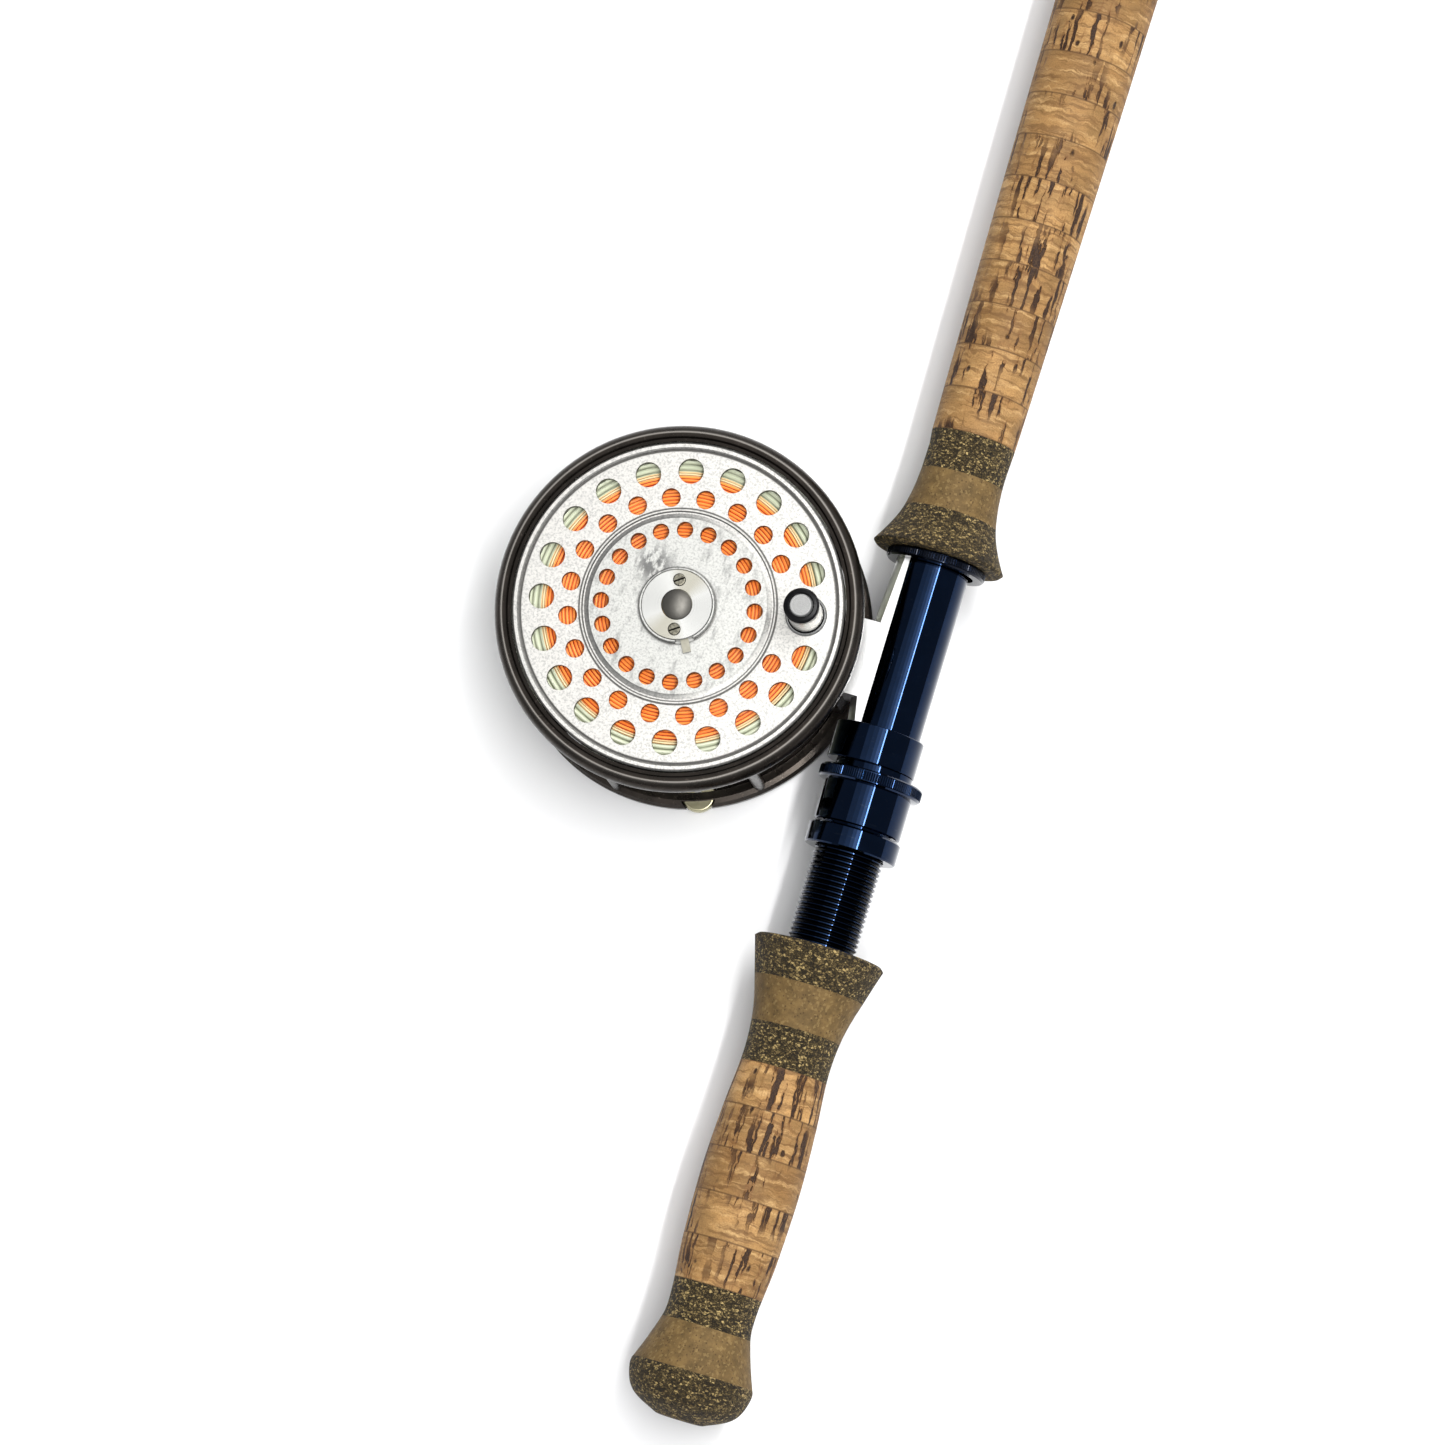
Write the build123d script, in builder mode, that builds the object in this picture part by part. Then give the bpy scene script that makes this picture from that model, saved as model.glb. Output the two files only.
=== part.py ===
"""Two-handed fly rod in four sections, with a click-check fly reel clamped in its reel seat.

The reel stands on its back plate: its spindle is the Z axis and the origin is the middle of the
back plate's flat face. The rod lies beside the reel, parallel to Y, with its tip towards +Y.
Every length is in millimetres and every angle in degrees. An angle around the reel is measured
from +X, the side where the rod lies.
"""

from build123d import *
import math
import os

os.makedirs("parts", exist_ok=True)

# ---------------------------------------------------------------- driving dimensions
GLUE_GAP = 0.04  # radial gap between glued sleeves
RUN_GAP = 0.05  # radial gap of a turning or sliding fit

ROD_X, ROD_Z = 64.4, 21.5  # rod axis, beside the reel and above its back face
BUTT_END_Y = -217.8
ROD_LENGTH = 3658.0

# rod blank: outer radius at the grips, and at the tip
BLANK_R, TIP_R = 7.2, 1.15
GRIP_BORE_R = BLANK_R + GLUE_GAP
TAPER_START_Y = 400.0  # below this the blank is a plain cylinder
FERRULE_LENGTH = 60.0
SECTIONS = 4

# cork grips, as (radius, y) down each silhouette
RING = 12.7  # length of one cork ring
LOWER_TOP_Y, FORE_BOTTOM_Y, FORE_TOP_Y = -80.7, 35.9, 338.0
LOWER_GRIP = [(17.4, -204.2), (14.9, -197.6), (12.4, -188.0), (13.7, -169.0), (14.3, -148.0), (13.6, -130.0),
              (12.45, -113.0), (13.4, -101.5), (16.5, -89.6), (19.1, LOWER_TOP_Y)]
BUTT_CAP = [(17.4, -208.0), (14.4, -213.6), (8.0, -217.0), (0.0, BUTT_END_Y)]
FORE_GRIP = [(19.6, FORE_BOTTOM_Y), (16.1, 42.0), (13.5, 48.6), (11.95, 60.0), (12.3, 74.0),
             (13.1, 125.0), (14.0, 195.0), (14.5, 245.0), (13.6, 285.0), (9.4, FORE_TOP_Y)]
LOWER_CORK_RINGS, FORE_CORK_RINGS = 5, 18

# reel seat
BARREL_R, BARREL_BORE_R = 10.0, 8.6
THREAD_ROOT_R, THREAD_PITCH = 9.3, 1.5
THREAD_START_Y, THREAD_END_Y = -79.5, -32.0
FOOT_HALF_ANGLE = 50.0  # half of the angle that the foot's saddle wraps round the barrel
FOOT_HALF_WIDTH = 7.5  # the foot's side faces are flat, this far from the rod's axis
FOOT_BLOCK_Y, FOOT_END_Y = (-9.0, 13.0), (-25.5, 38.0)
COLLAR_R = 14.35
HOOD_MOUTH_Y, HOOD_END_Y = -16.3, -26.9
HOOD_R, HOOD_OFFSET, HOOD_POCKET_R = 12.75, 1.3, 12.7  # the hood is set over towards the foot
NUT_R = 14.8
CHANNEL_HALF_ANGLE = 11.0

# reel frame
FRAME_R, BACK_R, WALL_R = 52.6, 52.0, 50.3
SPOOL_CLEAR_R = 47.6
FRONT_RING_Z, FRAME_TOP_Z = 33.5, 41.6
SPINDLE_R = 4.2
PILLAR_CENTRE_R = 49.5
PILLARS = {98.8: 1.7, -98.8: 1.7, 110.6: 0.7, -110.6: 0.7, 50.0: 1.7, -50.0: 1.7, 155.0: 1.7, -155.0: 1.7}
SCREW_SEAT_X, SCREW_SPREAD = 48.4, 4.5
FOOT_SCREWS = [(y, ROD_Z + side * SCREW_SPREAD) for y in (-5.5, 8.5) for side in (-1, 1)]

# click check: places are given as a radius and an angle around the spindle
DRAG_ANGLE, DRAG_RADIUS, DRAG_WHEEL_R = -71.0, 48.0, 4.9
DRAG_FLOOR_Z, DRAG_ROOF_Z, DRAG_ROOF_R = 0.8, 4.4, 50.1  # slot that the drag wheel turns in
PAWL_PIVOT_RADIUS, PAWL_REACH, PAWL_Z, PAWL_THICK = 23.0, 8.4, 3.6, 2.6
ANCHOR_RADIUS, ANCHOR_ANGLE = 34.0, -100.0
POST_R, POST_FOOT_Z = 1.2, 1.4
RATCHET_TEETH, RATCHET_ROOT_R, RATCHET_TIP_R, RATCHET_Z = 48, 14.3, 15.5, 4.95
RATCHET_SCREW_R = 10.5

# spool
FACE_Z = 41.2
SPOOL_R = 47.2
HOLE_PITCH, HOLE_START = 18.0, 11.4  # angle between holes, and angle of the handle
HOLE_ROWS = {"outer": (39.0, 3.65), "middle": (31.4, 2.7), "inner": (21.9, 2.35)}
DRUM_R = 13.0
SPOOL_BACK_Z, DRUM_BASE_Z, FACE_BACK_Z = 7.6, 9.2, 39.3
HANDLE_RADIUS = 36.5
LATCH_Z = (42.1, 42.9)
CAP_SCREW_R, CAP_SCREW_ANGLES = 7.1, (101.0, -79.0)
TAB_ANGLE = -61.5

# wound line, as (name, inner radius, outer radius)
LINE = [("backing", DRUM_R, 18.5), ("running_line", 18.5, 38.0),
        ("head_line_cream", 38.0, 39.3), ("head_line_green", 39.3, 42.6)]

# line guides: (y, ring radius) of the stripping guide on a section, and y of each snake guide
SECTION_NAMES = ["butt", "lower_mid", "upper_mid", "tip"]
SLEEVE_WALL = 0.75
STRIPPERS = {0: (640.0, 9.0), 1: (990.0, 7.0)}
GUIDE_PLACES = {1: [1225.0, 1450.0], 2: [1690.0, 1925.0, 2155.0, 2380.0],
                3: [2600.0, 2800.0, 2985.0, 3155.0, 3310.0]}

ROD_PLANE = Plane((ROD_X, 0, ROD_Z), x_dir=(1, 0, 0), z_dir=(0, 0, 1))
ROD_AXIS = Axis((ROD_X, 0, ROD_Z), (0, 1, 0))


def save(piece, name):
    """Labels a finished piece and writes it as its own node."""
    piece.label = name
    export_step(piece, f"parts/{name}.step")


def around(radius, angle, z=0.0):
    """A place at this radius and angle around the reel's spindle."""
    return Vector(radius * math.cos(math.radians(angle)), radius * math.sin(math.radians(angle)), z)


# ---------------------------------------------------------------- turned pieces
def turned_on_rod(outline):
    """A solid of revolution about the rod's axis, from (radius, y) corners."""
    with BuildPart() as turned:
        with BuildSketch(ROD_PLANE):
            with BuildLine():
                Polyline(*outline, close=True)
            make_face()
        revolve(axis=ROD_AXIS)
    return turned.part


def turned_on_spindle(outline):
    """A solid of revolution about the reel's spindle, from (radius, z) corners."""
    with BuildPart() as turned:
        with BuildSketch(Plane.XZ):
            with BuildLine():
                Polyline(*outline, close=True)
            make_face()
        revolve(axis=Axis.Z)
    return turned.part


def rod_sleeve(inner, outer, y0, y1):
    """A plain ring or tube on the rod's axis."""
    return turned_on_rod([(inner, y0), (outer, y0), (outer, y1), (inner, y1)])


def radius_at(silhouette, y):
    """Radius of a silhouette at y, on a smooth curve through its (radius, y) points."""
    count = len(silhouette)

    def slope(k):
        before, after = silhouette[max(k - 1, 0)], silhouette[min(k + 1, count - 1)]
        return (after[0] - before[0]) / (after[1] - before[1])

    k = max(0, min(count - 2, sum(1 for point in silhouette if point[1] <= y) - 1))
    (r0, y0), (r1, y1) = silhouette[k], silhouette[k + 1]
    span = y1 - y0
    t = (y - y0) / span
    bend0, bend1 = slope(k) * span, slope(k + 1) * span
    return ((2 * t**3 - 3 * t**2 + 1) * r0 + (t**3 - 2 * t**2 + t) * bend0
            + (3 * t**2 - 2 * t**3) * r1 + (t**3 - t**2) * bend1)


def grip_ring(silhouette, low, high, bore, edge_round=0.0):
    """One cork ring between low and high, turned to the grip's silhouette.

    A positive edge_round rounds the rim at the high end, and a negative one at the low end.
    """
    bottom = low + max(0.0, -edge_round)
    top = high - max(0.0, edge_round)
    steps = [bottom + (top - bottom) * n / 4 for n in range(5)]
    flank = [(radius_at(silhouette, y), y) for y in steps]
    rim_low = [(flank[0][0] + edge_round, low)] if edge_round < 0 else []
    rim_high = [(flank[-1][0] - edge_round, high)] if edge_round > 0 else []
    with BuildPart() as ring:
        with BuildSketch(ROD_PLANE):
            with BuildLine():
                Spline(*flank)
                Polyline(flank[-1], *rim_high, (bore, high), (bore, low), *rim_low, flank[0])
            make_face()
        revolve(axis=ROD_AXIS)
    return ring.part


def blank_radius(y):
    """Outer radius of the rod blank's straight taper at y."""
    share = max(0.0, (y - TAPER_START_Y) / (BUTT_END_Y + ROD_LENGTH - TAPER_START_Y))
    return BLANK_R + (TIP_R - BLANK_R) * share


# ---------------------------------------------------------------- cork grips
def ring_stack(silhouette, cuts):
    """The plain rings of a grip, one between each two cuts."""
    return [grip_ring(silhouette, low, high, GRIP_BORE_R) for low, high in zip(cuts, cuts[1:])]


def make_lower_grip():
    """Rings of the lower grip, from the rounded butt up to the seat."""
    butt_top = LOWER_GRIP[0][1]
    first_natural = -116.3 - RING * LOWER_CORK_RINGS
    cuts = [butt_top, -191.2] + [first_natural + RING * n for n in range(LOWER_CORK_RINGS + 1)]
    cuts += [-104.7, -92.0]
    rings = ring_stack(LOWER_GRIP, cuts)
    save(Compound(children=[rings[0], rings[-1]]), "lower_grip_tan_rings")
    save(Compound(children=[rings[1], rings[-2]]), "lower_grip_burl_rings")
    save(Compound(children=rings[2:-2]), "lower_grip_cork_rings")
    save(grip_ring(LOWER_GRIP, cuts[-1], LOWER_TOP_Y, GRIP_BORE_R, 0.8), "lower_grip_flare")
    with BuildPart() as butt:
        with BuildSketch(ROD_PLANE):
            with BuildLine():
                Spline((radius_at(LOWER_GRIP, butt_top), butt_top), *BUTT_CAP, tangents=((0.6, -1), (-1, 0)))
                Polyline(BUTT_CAP[-1], (0, butt_top), (radius_at(LOWER_GRIP, butt_top), butt_top))
            make_face()
        revolve(axis=ROD_AXIS)
    save(butt.part, "lower_grip_butt")


def make_fore_grip():
    """Rings of the fore grip, from the fixed hood up to the winding check."""
    cuts = [48.6, 60.1, 71.6]
    cuts += [cuts[-1] + RING * n for n in range(1, FORE_CORK_RINGS + 1)]
    cuts += [cuts[-1] + RING, cuts[-1] + 2 * RING]
    rings = ring_stack(FORE_GRIP, cuts)
    save(Compound(children=[rings[0], rings[-1]]), "fore_grip_tan_rings")
    save(Compound(children=[rings[1], rings[-2]]), "fore_grip_burl_rings")
    save(Compound(children=rings[2:-2]), "fore_grip_cork_rings")
    save(grip_ring(FORE_GRIP, cuts[-1], FORE_TOP_Y, GRIP_BORE_R, 0.8), "fore_grip_tip_ring")
    rim = grip_ring(FORE_GRIP, FORE_BOTTOM_Y, cuts[0], GRIP_BORE_R, -0.8)
    socket = rod_sleeve(GRIP_BORE_R - 1, 12.6 + GLUE_GAP, FORE_BOTTOM_Y - 1, 46.0 + GLUE_GAP)
    with BuildPart() as flare:
        add(rim)
        add(socket, mode=Mode.SUBTRACT)
    save(flare.part, "fore_grip_flare")
    base = FORE_TOP_Y + 0.1
    check = turned_on_rod([(GRIP_BORE_R, base), (9.3, base), (9.3, base + 1.2), (7.9, base + 3.3),
                           (GRIP_BORE_R, base + 3.3)])
    save(check, "winding_check")


# ---------------------------------------------------------------- reel seat
def saddle_sector(outline, half_angle):
    """A solid that wraps the barrel's reel side, from (radius, y) corners."""
    start = Plane((ROD_X, 0, ROD_Z), x_dir=(-1, 0, 0), z_dir=(0, 0, -1))
    with BuildPart() as sector:
        with BuildSketch(start):
            with BuildLine():
                Polyline(*outline, close=True)
            make_face()
        revolve(axis=ROD_AXIS, revolution_arc=2 * half_angle)
    return sector.part.rotate(ROD_AXIS, -half_angle)


def make_barrel():
    """Threaded tube of the seat; the thread stops at the channel that guides the sliding hood."""
    turns = int((THREAD_END_Y - THREAD_START_Y) / THREAD_PITCH)
    outline = [(BARREL_BORE_R, LOWER_TOP_Y), (BARREL_R, LOWER_TOP_Y)]
    for n in range(turns):
        y = THREAD_START_Y + n * THREAD_PITCH
        outline += [(BARREL_R, y), (THREAD_ROOT_R, y + 0.3 * THREAD_PITCH),
                    (THREAD_ROOT_R, y + 0.5 * THREAD_PITCH), (BARREL_R, y + 0.8 * THREAD_PITCH)]
    outline += [(BARREL_R, 45.9), (BARREL_BORE_R, 45.9)]
    tube = turned_on_rod(outline)
    floor_r = THREAD_ROOT_R - 0.1
    channel = saddle_sector([(floor_r, LOWER_TOP_Y - 1), (BARREL_R + 1, LOWER_TOP_Y - 1),
                             (BARREL_R + 1, THREAD_END_Y + 1), (floor_r, THREAD_END_Y + 1)],
                            CHANNEL_HALF_ANGLE)
    with BuildPart() as barrel:
        add(tube)
        add(channel, mode=Mode.SUBTRACT)
    save(barrel.part, "reel_seat_barrel")
    arbors = [rod_sleeve(BLANK_R + GLUE_GAP, BARREL_BORE_R - GLUE_GAP, y, y + 14.0)
              for y in (-74.0, -26.0, 20.0)]
    save(Compound(children=arbors), "reel_seat_arbors")


def make_hoods():
    """Fixed hood in the fore grip, and the sliding hood with its lock nut and jam nut."""
    bore = BARREL_R + GLUE_GAP
    collar = turned_on_rod([(11.3, 32.9), (13.9, 32.9), (COLLAR_R, 33.3), (COLLAR_R, 35.5), (13.9, 35.86),
                            (12.6, 35.86), (12.6, 46.0), (bore, 46.0), (bore, 40.5), (11.3, 40.5)])
    save(collar, "fixed_hood")
    slide_bore = BARREL_R + RUN_GAP
    pocket = saddle_sector([(slide_bore - 1, HOOD_END_Y + 0.9), (HOOD_POCKET_R, HOOD_END_Y + 0.9),
                            (HOOD_POCKET_R, HOOD_MOUTH_Y + 1), (slide_bore - 1, HOOD_MOUTH_Y + 1)],
                           FOOT_HALF_ANGLE + 3)
    with BuildPart() as hood:
        with BuildSketch(Plane((ROD_X, HOOD_END_Y, ROD_Z), x_dir=(1, 0, 0), z_dir=(0, 1, 0))):
            with Locations((-HOOD_OFFSET, 0)):
                Circle(HOOD_R)
        extrude(amount=HOOD_MOUTH_Y - HOOD_END_Y)
        fillet(hood.edges().filter_by(GeomType.CIRCLE), 0.35)
        with BuildSketch(Plane((ROD_X, HOOD_END_Y - 1, ROD_Z), x_dir=(1, 0, 0), z_dir=(0, 1, 0))):
            Circle(slide_bore)
        extrude(amount=HOOD_MOUTH_Y - HOOD_END_Y + 2, mode=Mode.SUBTRACT)
        add(pocket, mode=Mode.SUBTRACT)
    save(hood.part, "sliding_hood")
    nut = turned_on_rod([(slide_bore, -45.0), (12.2, -45.0), (12.6, -44.6), (12.6, -33.2), (14.3, -32.9),
                         (NUT_R, -32.5), (NUT_R, -29.5), (14.3, -29.1), (11.2, -29.1),
                         (11.2, HOOD_END_Y - 0.1), (slide_bore, HOOD_END_Y - 0.1)])
    save(nut, "lock_nut")
    jam = turned_on_rod([(slide_bore, -52.0), (12.9, -52.0), (13.3, -51.6), (13.3, -46.2), (12.9, -45.8),
                         (slide_bore, -45.8)])
    save(jam, "jam_nut")


# ---------------------------------------------------------------- rod blank, guides and wraps
def section_span(n):
    """Bottom and top of rod section n, counted from 0 at the butt."""
    length = (ROD_LENGTH + (SECTIONS - 1) * FERRULE_LENGTH) / SECTIONS
    bottom = BUTT_END_Y + n * (length - FERRULE_LENGTH)
    return bottom, bottom + length


def section_radius(n, y):
    """Outer radius of section n: its taper, or the swelling over its ferrule sleeve."""
    bottom, _ = section_span(n)
    if n == 0:
        return blank_radius(y)
    swell_end = bottom + FERRULE_LENGTH + 12
    sleeve = blank_radius(bottom) + SLEEVE_WALL
    if y >= swell_end:
        return blank_radius(y)
    share = (y - bottom) / (swell_end - bottom)
    return sleeve + (blank_radius(swell_end) - sleeve) * share


def make_blanks():
    """The four tubes of the rod; the upper three start with a ferrule socket."""
    for n in range(SECTIONS):
        bottom, top = section_span(n)
        if n == 0:
            wall = 1.3
            outline = [(BLANK_R - wall, -203.0), (BLANK_R, -203.0), (BLANK_R, TAPER_START_Y),
                       (blank_radius(top), top), (blank_radius(top) - wall, top)]
        else:
            end = min(top, BUTT_END_Y + ROD_LENGTH - 4.0)
            swell_end = bottom + FERRULE_LENGTH + 12
            socket_end = bottom + FERRULE_LENGTH + 1.0
            gap = 0.03
            wall = 0.9 if n < 3 else 0.55
            outline = [(blank_radius(bottom) + gap, bottom), (section_radius(n, bottom), bottom),
                       (section_radius(n, swell_end), swell_end), (blank_radius(end), end),
                       (blank_radius(end) - wall, end), (blank_radius(socket_end) - wall, socket_end),
                       (blank_radius(socket_end) + gap, socket_end)]
        save(turned_on_rod(outline), f"{SECTION_NAMES[n]}_blank")


def snake_guide(n, y, size):
    """A wire guide: two feet on the blank, joined by an arch that crosses it at a slant."""
    wire = 0.45 + 0.04 * size
    base = section_radius(n, y) + wire
    top = base + size
    reach = 0.75 * size
    foot = size + 7.0
    knee = base + 0.45 * size
    # half of the wire as (distance from the rod's axis, y from the middle, z); the other half mirrors it
    half = [(base, foot, 0), (base, reach + 1.5, 0), (knee, 0.8 * reach, 0.62 * size),
            (top, 0.3 * reach, 0.34 * size)]
    route = [(out, -along, z) for out, along, z in half] + [(out, along, -z) for out, along, z in half[::-1]]
    points = [Vector(ROD_X - out, y + along, ROD_Z + z) for out, along, z in route]
    bends = [0.28 * min((points[k] - points[k - 1]).length, (points[k + 1] - points[k]).length)
             for k in range(1, len(points) - 1)]
    with BuildPart() as guide:
        with BuildLine() as path:
            FilletPolyline(*points, radius=bends)
        with BuildSketch(Plane(points[0], z_dir=(0, 1, 0))):
            Circle(wire)
        sweep(path=path.wires()[0])
    return guide.part


def thread_wrap(n, y0, y1, bulk):
    """Whipping that binds a guide's foot or a ferrule, tapered at both ends."""
    ends = section_radius(n, y0), section_radius(n, y1)
    ramp = min(3.0, abs(y1 - y0) / 4)
    inner = [(ends[0] + 0.02, y0), (ends[1] + 0.02, y1)]
    return turned_on_rod([inner[0], (ends[0] + 0.15, y0), (ends[0] + bulk, y0 + ramp),
                          (ends[1] + bulk, y1 - ramp), (ends[1] + 0.15, y1), inner[1]])


def stripping_guide(n, y, ring_r):
    """Steel frame of a ringed guide, and the ceramic ring pressed into it."""
    base = section_radius(n, y)
    centre = ROD_X - base - ring_r - 4.5
    lean = Plane((centre, y, ROD_Z), x_dir=(1, 0, 0), z_dir=(0, 1, 0))
    with BuildPart() as frame:
        with BuildSketch(lean.offset(-0.7)):
            Circle(ring_r + 0.8)
            Circle(ring_r, mode=Mode.SUBTRACT)
        extrude(amount=1.4)
        for side in (-1, 1):
            root = Vector(ROD_X - base - 0.7, y - 15.0, ROD_Z + side * 0.9)
            shoulder = Vector(centre + 0.35 * ring_r, y, ROD_Z + side * (0.94 * ring_r + 0.45))
            with BuildLine() as leg:
                Line(root, shoulder)
            with BuildSketch(Plane(root, z_dir=(shoulder - root))):
                Circle(0.65)
            sweep(path=leg.wires()[0])
        heel = Vector(ROD_X - base - 0.7, y + 11.0, ROD_Z)
        ankle = Vector(centre + ring_r + 0.4, y, ROD_Z)
        with BuildLine() as strut:
            Line(heel, ankle)
        with BuildSketch(Plane(heel, z_dir=(ankle - heel))):
            Circle(0.8)
        sweep(path=strut.wires()[0])
        for foot_y, width in ((y - 20.5, 3.4), (y + 16.5, 2.6)):
            with Locations((ROD_X - base - 0.62, foot_y, ROD_Z)):
                Box(1.1, 12.5, width)
    with BuildPart() as ring:
        with BuildSketch(lean.offset(-1.1)):
            Circle(ring_r - 0.02)
            Circle(ring_r - 1.3, mode=Mode.SUBTRACT)
        extrude(amount=2.2)
        fillet(ring.edges(), 0.3)
    return frame.part, ring.part


def make_guides():
    """Stripping guides, snake guides and the whipping that holds them and backs each ferrule."""
    for n in range(SECTIONS):
        wraps = []
        if n in STRIPPERS:
            y, ring_r = STRIPPERS[n]
            frame, ring = stripping_guide(n, y, ring_r)
            save(frame, f"{SECTION_NAMES[n]}_stripping_guide_frame")
            save(ring, f"{SECTION_NAMES[n]}_stripping_guide_ring")
            wraps += [thread_wrap(n, y - 30.0, y - 16.0, 1.5), thread_wrap(n, y + 12.0, y + 26.0, 1.5)]
        guides = []
        for k, y in enumerate(GUIDE_PLACES.get(n, [])):
            size = 6.4 - 0.55 * (n - 1) - 0.1 * k
            guides.append(snake_guide(n, y, size))
            near, far = 0.75 * size + 3.0, size + 9.5
            wraps += [thread_wrap(n, y - far, y - near, 1.35), thread_wrap(n, y + near, y + far, 1.35)]
        if guides:
            save(Compound(children=guides), f"{SECTION_NAMES[n]}_snake_guides")
        if n > 0:
            bottom, _ = section_span(n)
            wraps.append(thread_wrap(n, bottom + 0.5, bottom + 26.0, 0.4))
        save(Compound(children=wraps), f"{SECTION_NAMES[n]}_thread_wraps")


def make_tip_top():
    """Tube glued over the tip, with the wire loop that the line leaves through."""
    end = BUTT_END_Y + ROD_LENGTH
    loop_r, wire = 2.9, 0.55
    tube_r = TIP_R + 0.55
    tube = turned_on_rod([(TIP_R + 0.05, end - 17.0), (tube_r, end - 17.0), (tube_r, end - 4.0),
                          (0, end - 2.8), (0, end - 3.9), (TIP_R + 0.05, end - 3.9)])
    with BuildPart() as tip_top:
        add(tube)
        ring_centre = (ROD_X - 3.4, end - 2.1, ROD_Z)
        ring_plane = Plane(ring_centre, x_dir=(0, 0, 1), z_dir=(0.5, 1.0, 0))
        with BuildSketch(Plane(Vector(ring_centre) + ring_plane.x_dir * loop_r, x_dir=ring_plane.x_dir,
                               z_dir=ring_plane.y_dir)):
            Circle(wire)
        revolve(axis=Axis(ring_centre, ring_plane.z_dir))
    save(tip_top.part, "tip_top")


# ---------------------------------------------------------------- reel frame and foot
def make_frame():
    """Cage of the reel: back plate, front ring, pillars, and the bar that the foot is screwed to."""
    plate = turned_on_spindle([(SPINDLE_R + 0.01, 0), (49.6, 0), (51.2, 0.5), (BACK_R, 1.9), (BACK_R, 3.6),
                               (51.2, 5.0), (49.8, 5.4), (SPOOL_CLEAR_R, 5.4), (SPOOL_CLEAR_R, 3.4),
                               (46.8, 2.6), (9.0, 2.6), (8.0, 4.6), (SPINDLE_R + 0.01, 4.6)])
    with BuildPart() as frame:
        add(plate)
        with BuildSketch(Plane.XZ):
            with BuildLine():
                rim = ThreePointArc((51.7, FRONT_RING_Z + 1.9), (FRAME_R, 38.6), (50.4, FRAME_TOP_Z))
                Polyline(rim @ 1, (49.0, FRAME_TOP_Z), (48.5, 40.9), (SPOOL_CLEAR_R, 40.9),
                         (SPOOL_CLEAR_R, FRONT_RING_Z), (50.6, FRONT_RING_Z), (51.3, FRONT_RING_Z + 0.5),
                         rim @ 0)
            make_face()
        revolve(axis=Axis.Z)
        for angle, radius in PILLARS.items():
            with BuildSketch(Plane.XY.offset(5.0)):
                with Locations(around(PILLAR_CENTRE_R, angle)):
                    Circle(radius)
            extrude(amount=FRONT_RING_Z - 4.6)
        with BuildSketch(Plane.XY.offset(5.0)):
            Circle(WALL_R)
            Circle(SPOOL_CLEAR_R, mode=Mode.SUBTRACT)
            with Locations((50, 1.5)):
                Rectangle(20, 27, mode=Mode.INTERSECT)
        extrude(amount=FRONT_RING_Z - 4.6)
        wheel_place = around(DRAG_RADIUS, DRAG_ANGLE)
        with BuildSketch(Plane.XY.offset(DRAG_FLOOR_Z)):
            with Locations(wheel_place):
                Circle(DRAG_WHEEL_R + 0.4)
        extrude(amount=DRAG_ROOF_Z - DRAG_FLOOR_Z, mode=Mode.SUBTRACT)
        with BuildSketch(Plane.XY.offset(DRAG_ROOF_Z - 0.1)):
            with Locations(wheel_place):
                Circle(DRAG_WHEEL_R + 0.4)
            Circle(DRAG_ROOF_R, mode=Mode.SUBTRACT)
        extrude(amount=2.0, mode=Mode.SUBTRACT)
        for y, z in FOOT_SCREWS:
            with BuildSketch(Plane((SCREW_SEAT_X - 8, y, z), z_dir=(1, 0, 0))):
                Circle(1.3)
            extrude(amount=8.0, mode=Mode.SUBTRACT)
            with BuildSketch(Plane((SCREW_SEAT_X - 1, y, z), z_dir=(1, 0, 0))):
                Circle(1.05)
            extrude(amount=5.0, mode=Mode.SUBTRACT)
        for groove_r in (20.0, 43.0):
            with BuildSketch(Plane.XY):
                Circle(groove_r + 0.5)
                Circle(groove_r - 0.5, mode=Mode.SUBTRACT)
            extrude(amount=0.4, mode=Mode.SUBTRACT)
        for post in (around(PAWL_PIVOT_RADIUS, DRAG_ANGLE), around(ANCHOR_RADIUS, ANCHOR_ANGLE)):
            with BuildSketch(Plane.XY.offset(POST_FOOT_Z)):
                with Locations(post):
                    Circle(POST_R + 0.01)
            extrude(amount=3.0, mode=Mode.SUBTRACT)
    save(frame.part, "reel_frame")


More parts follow.
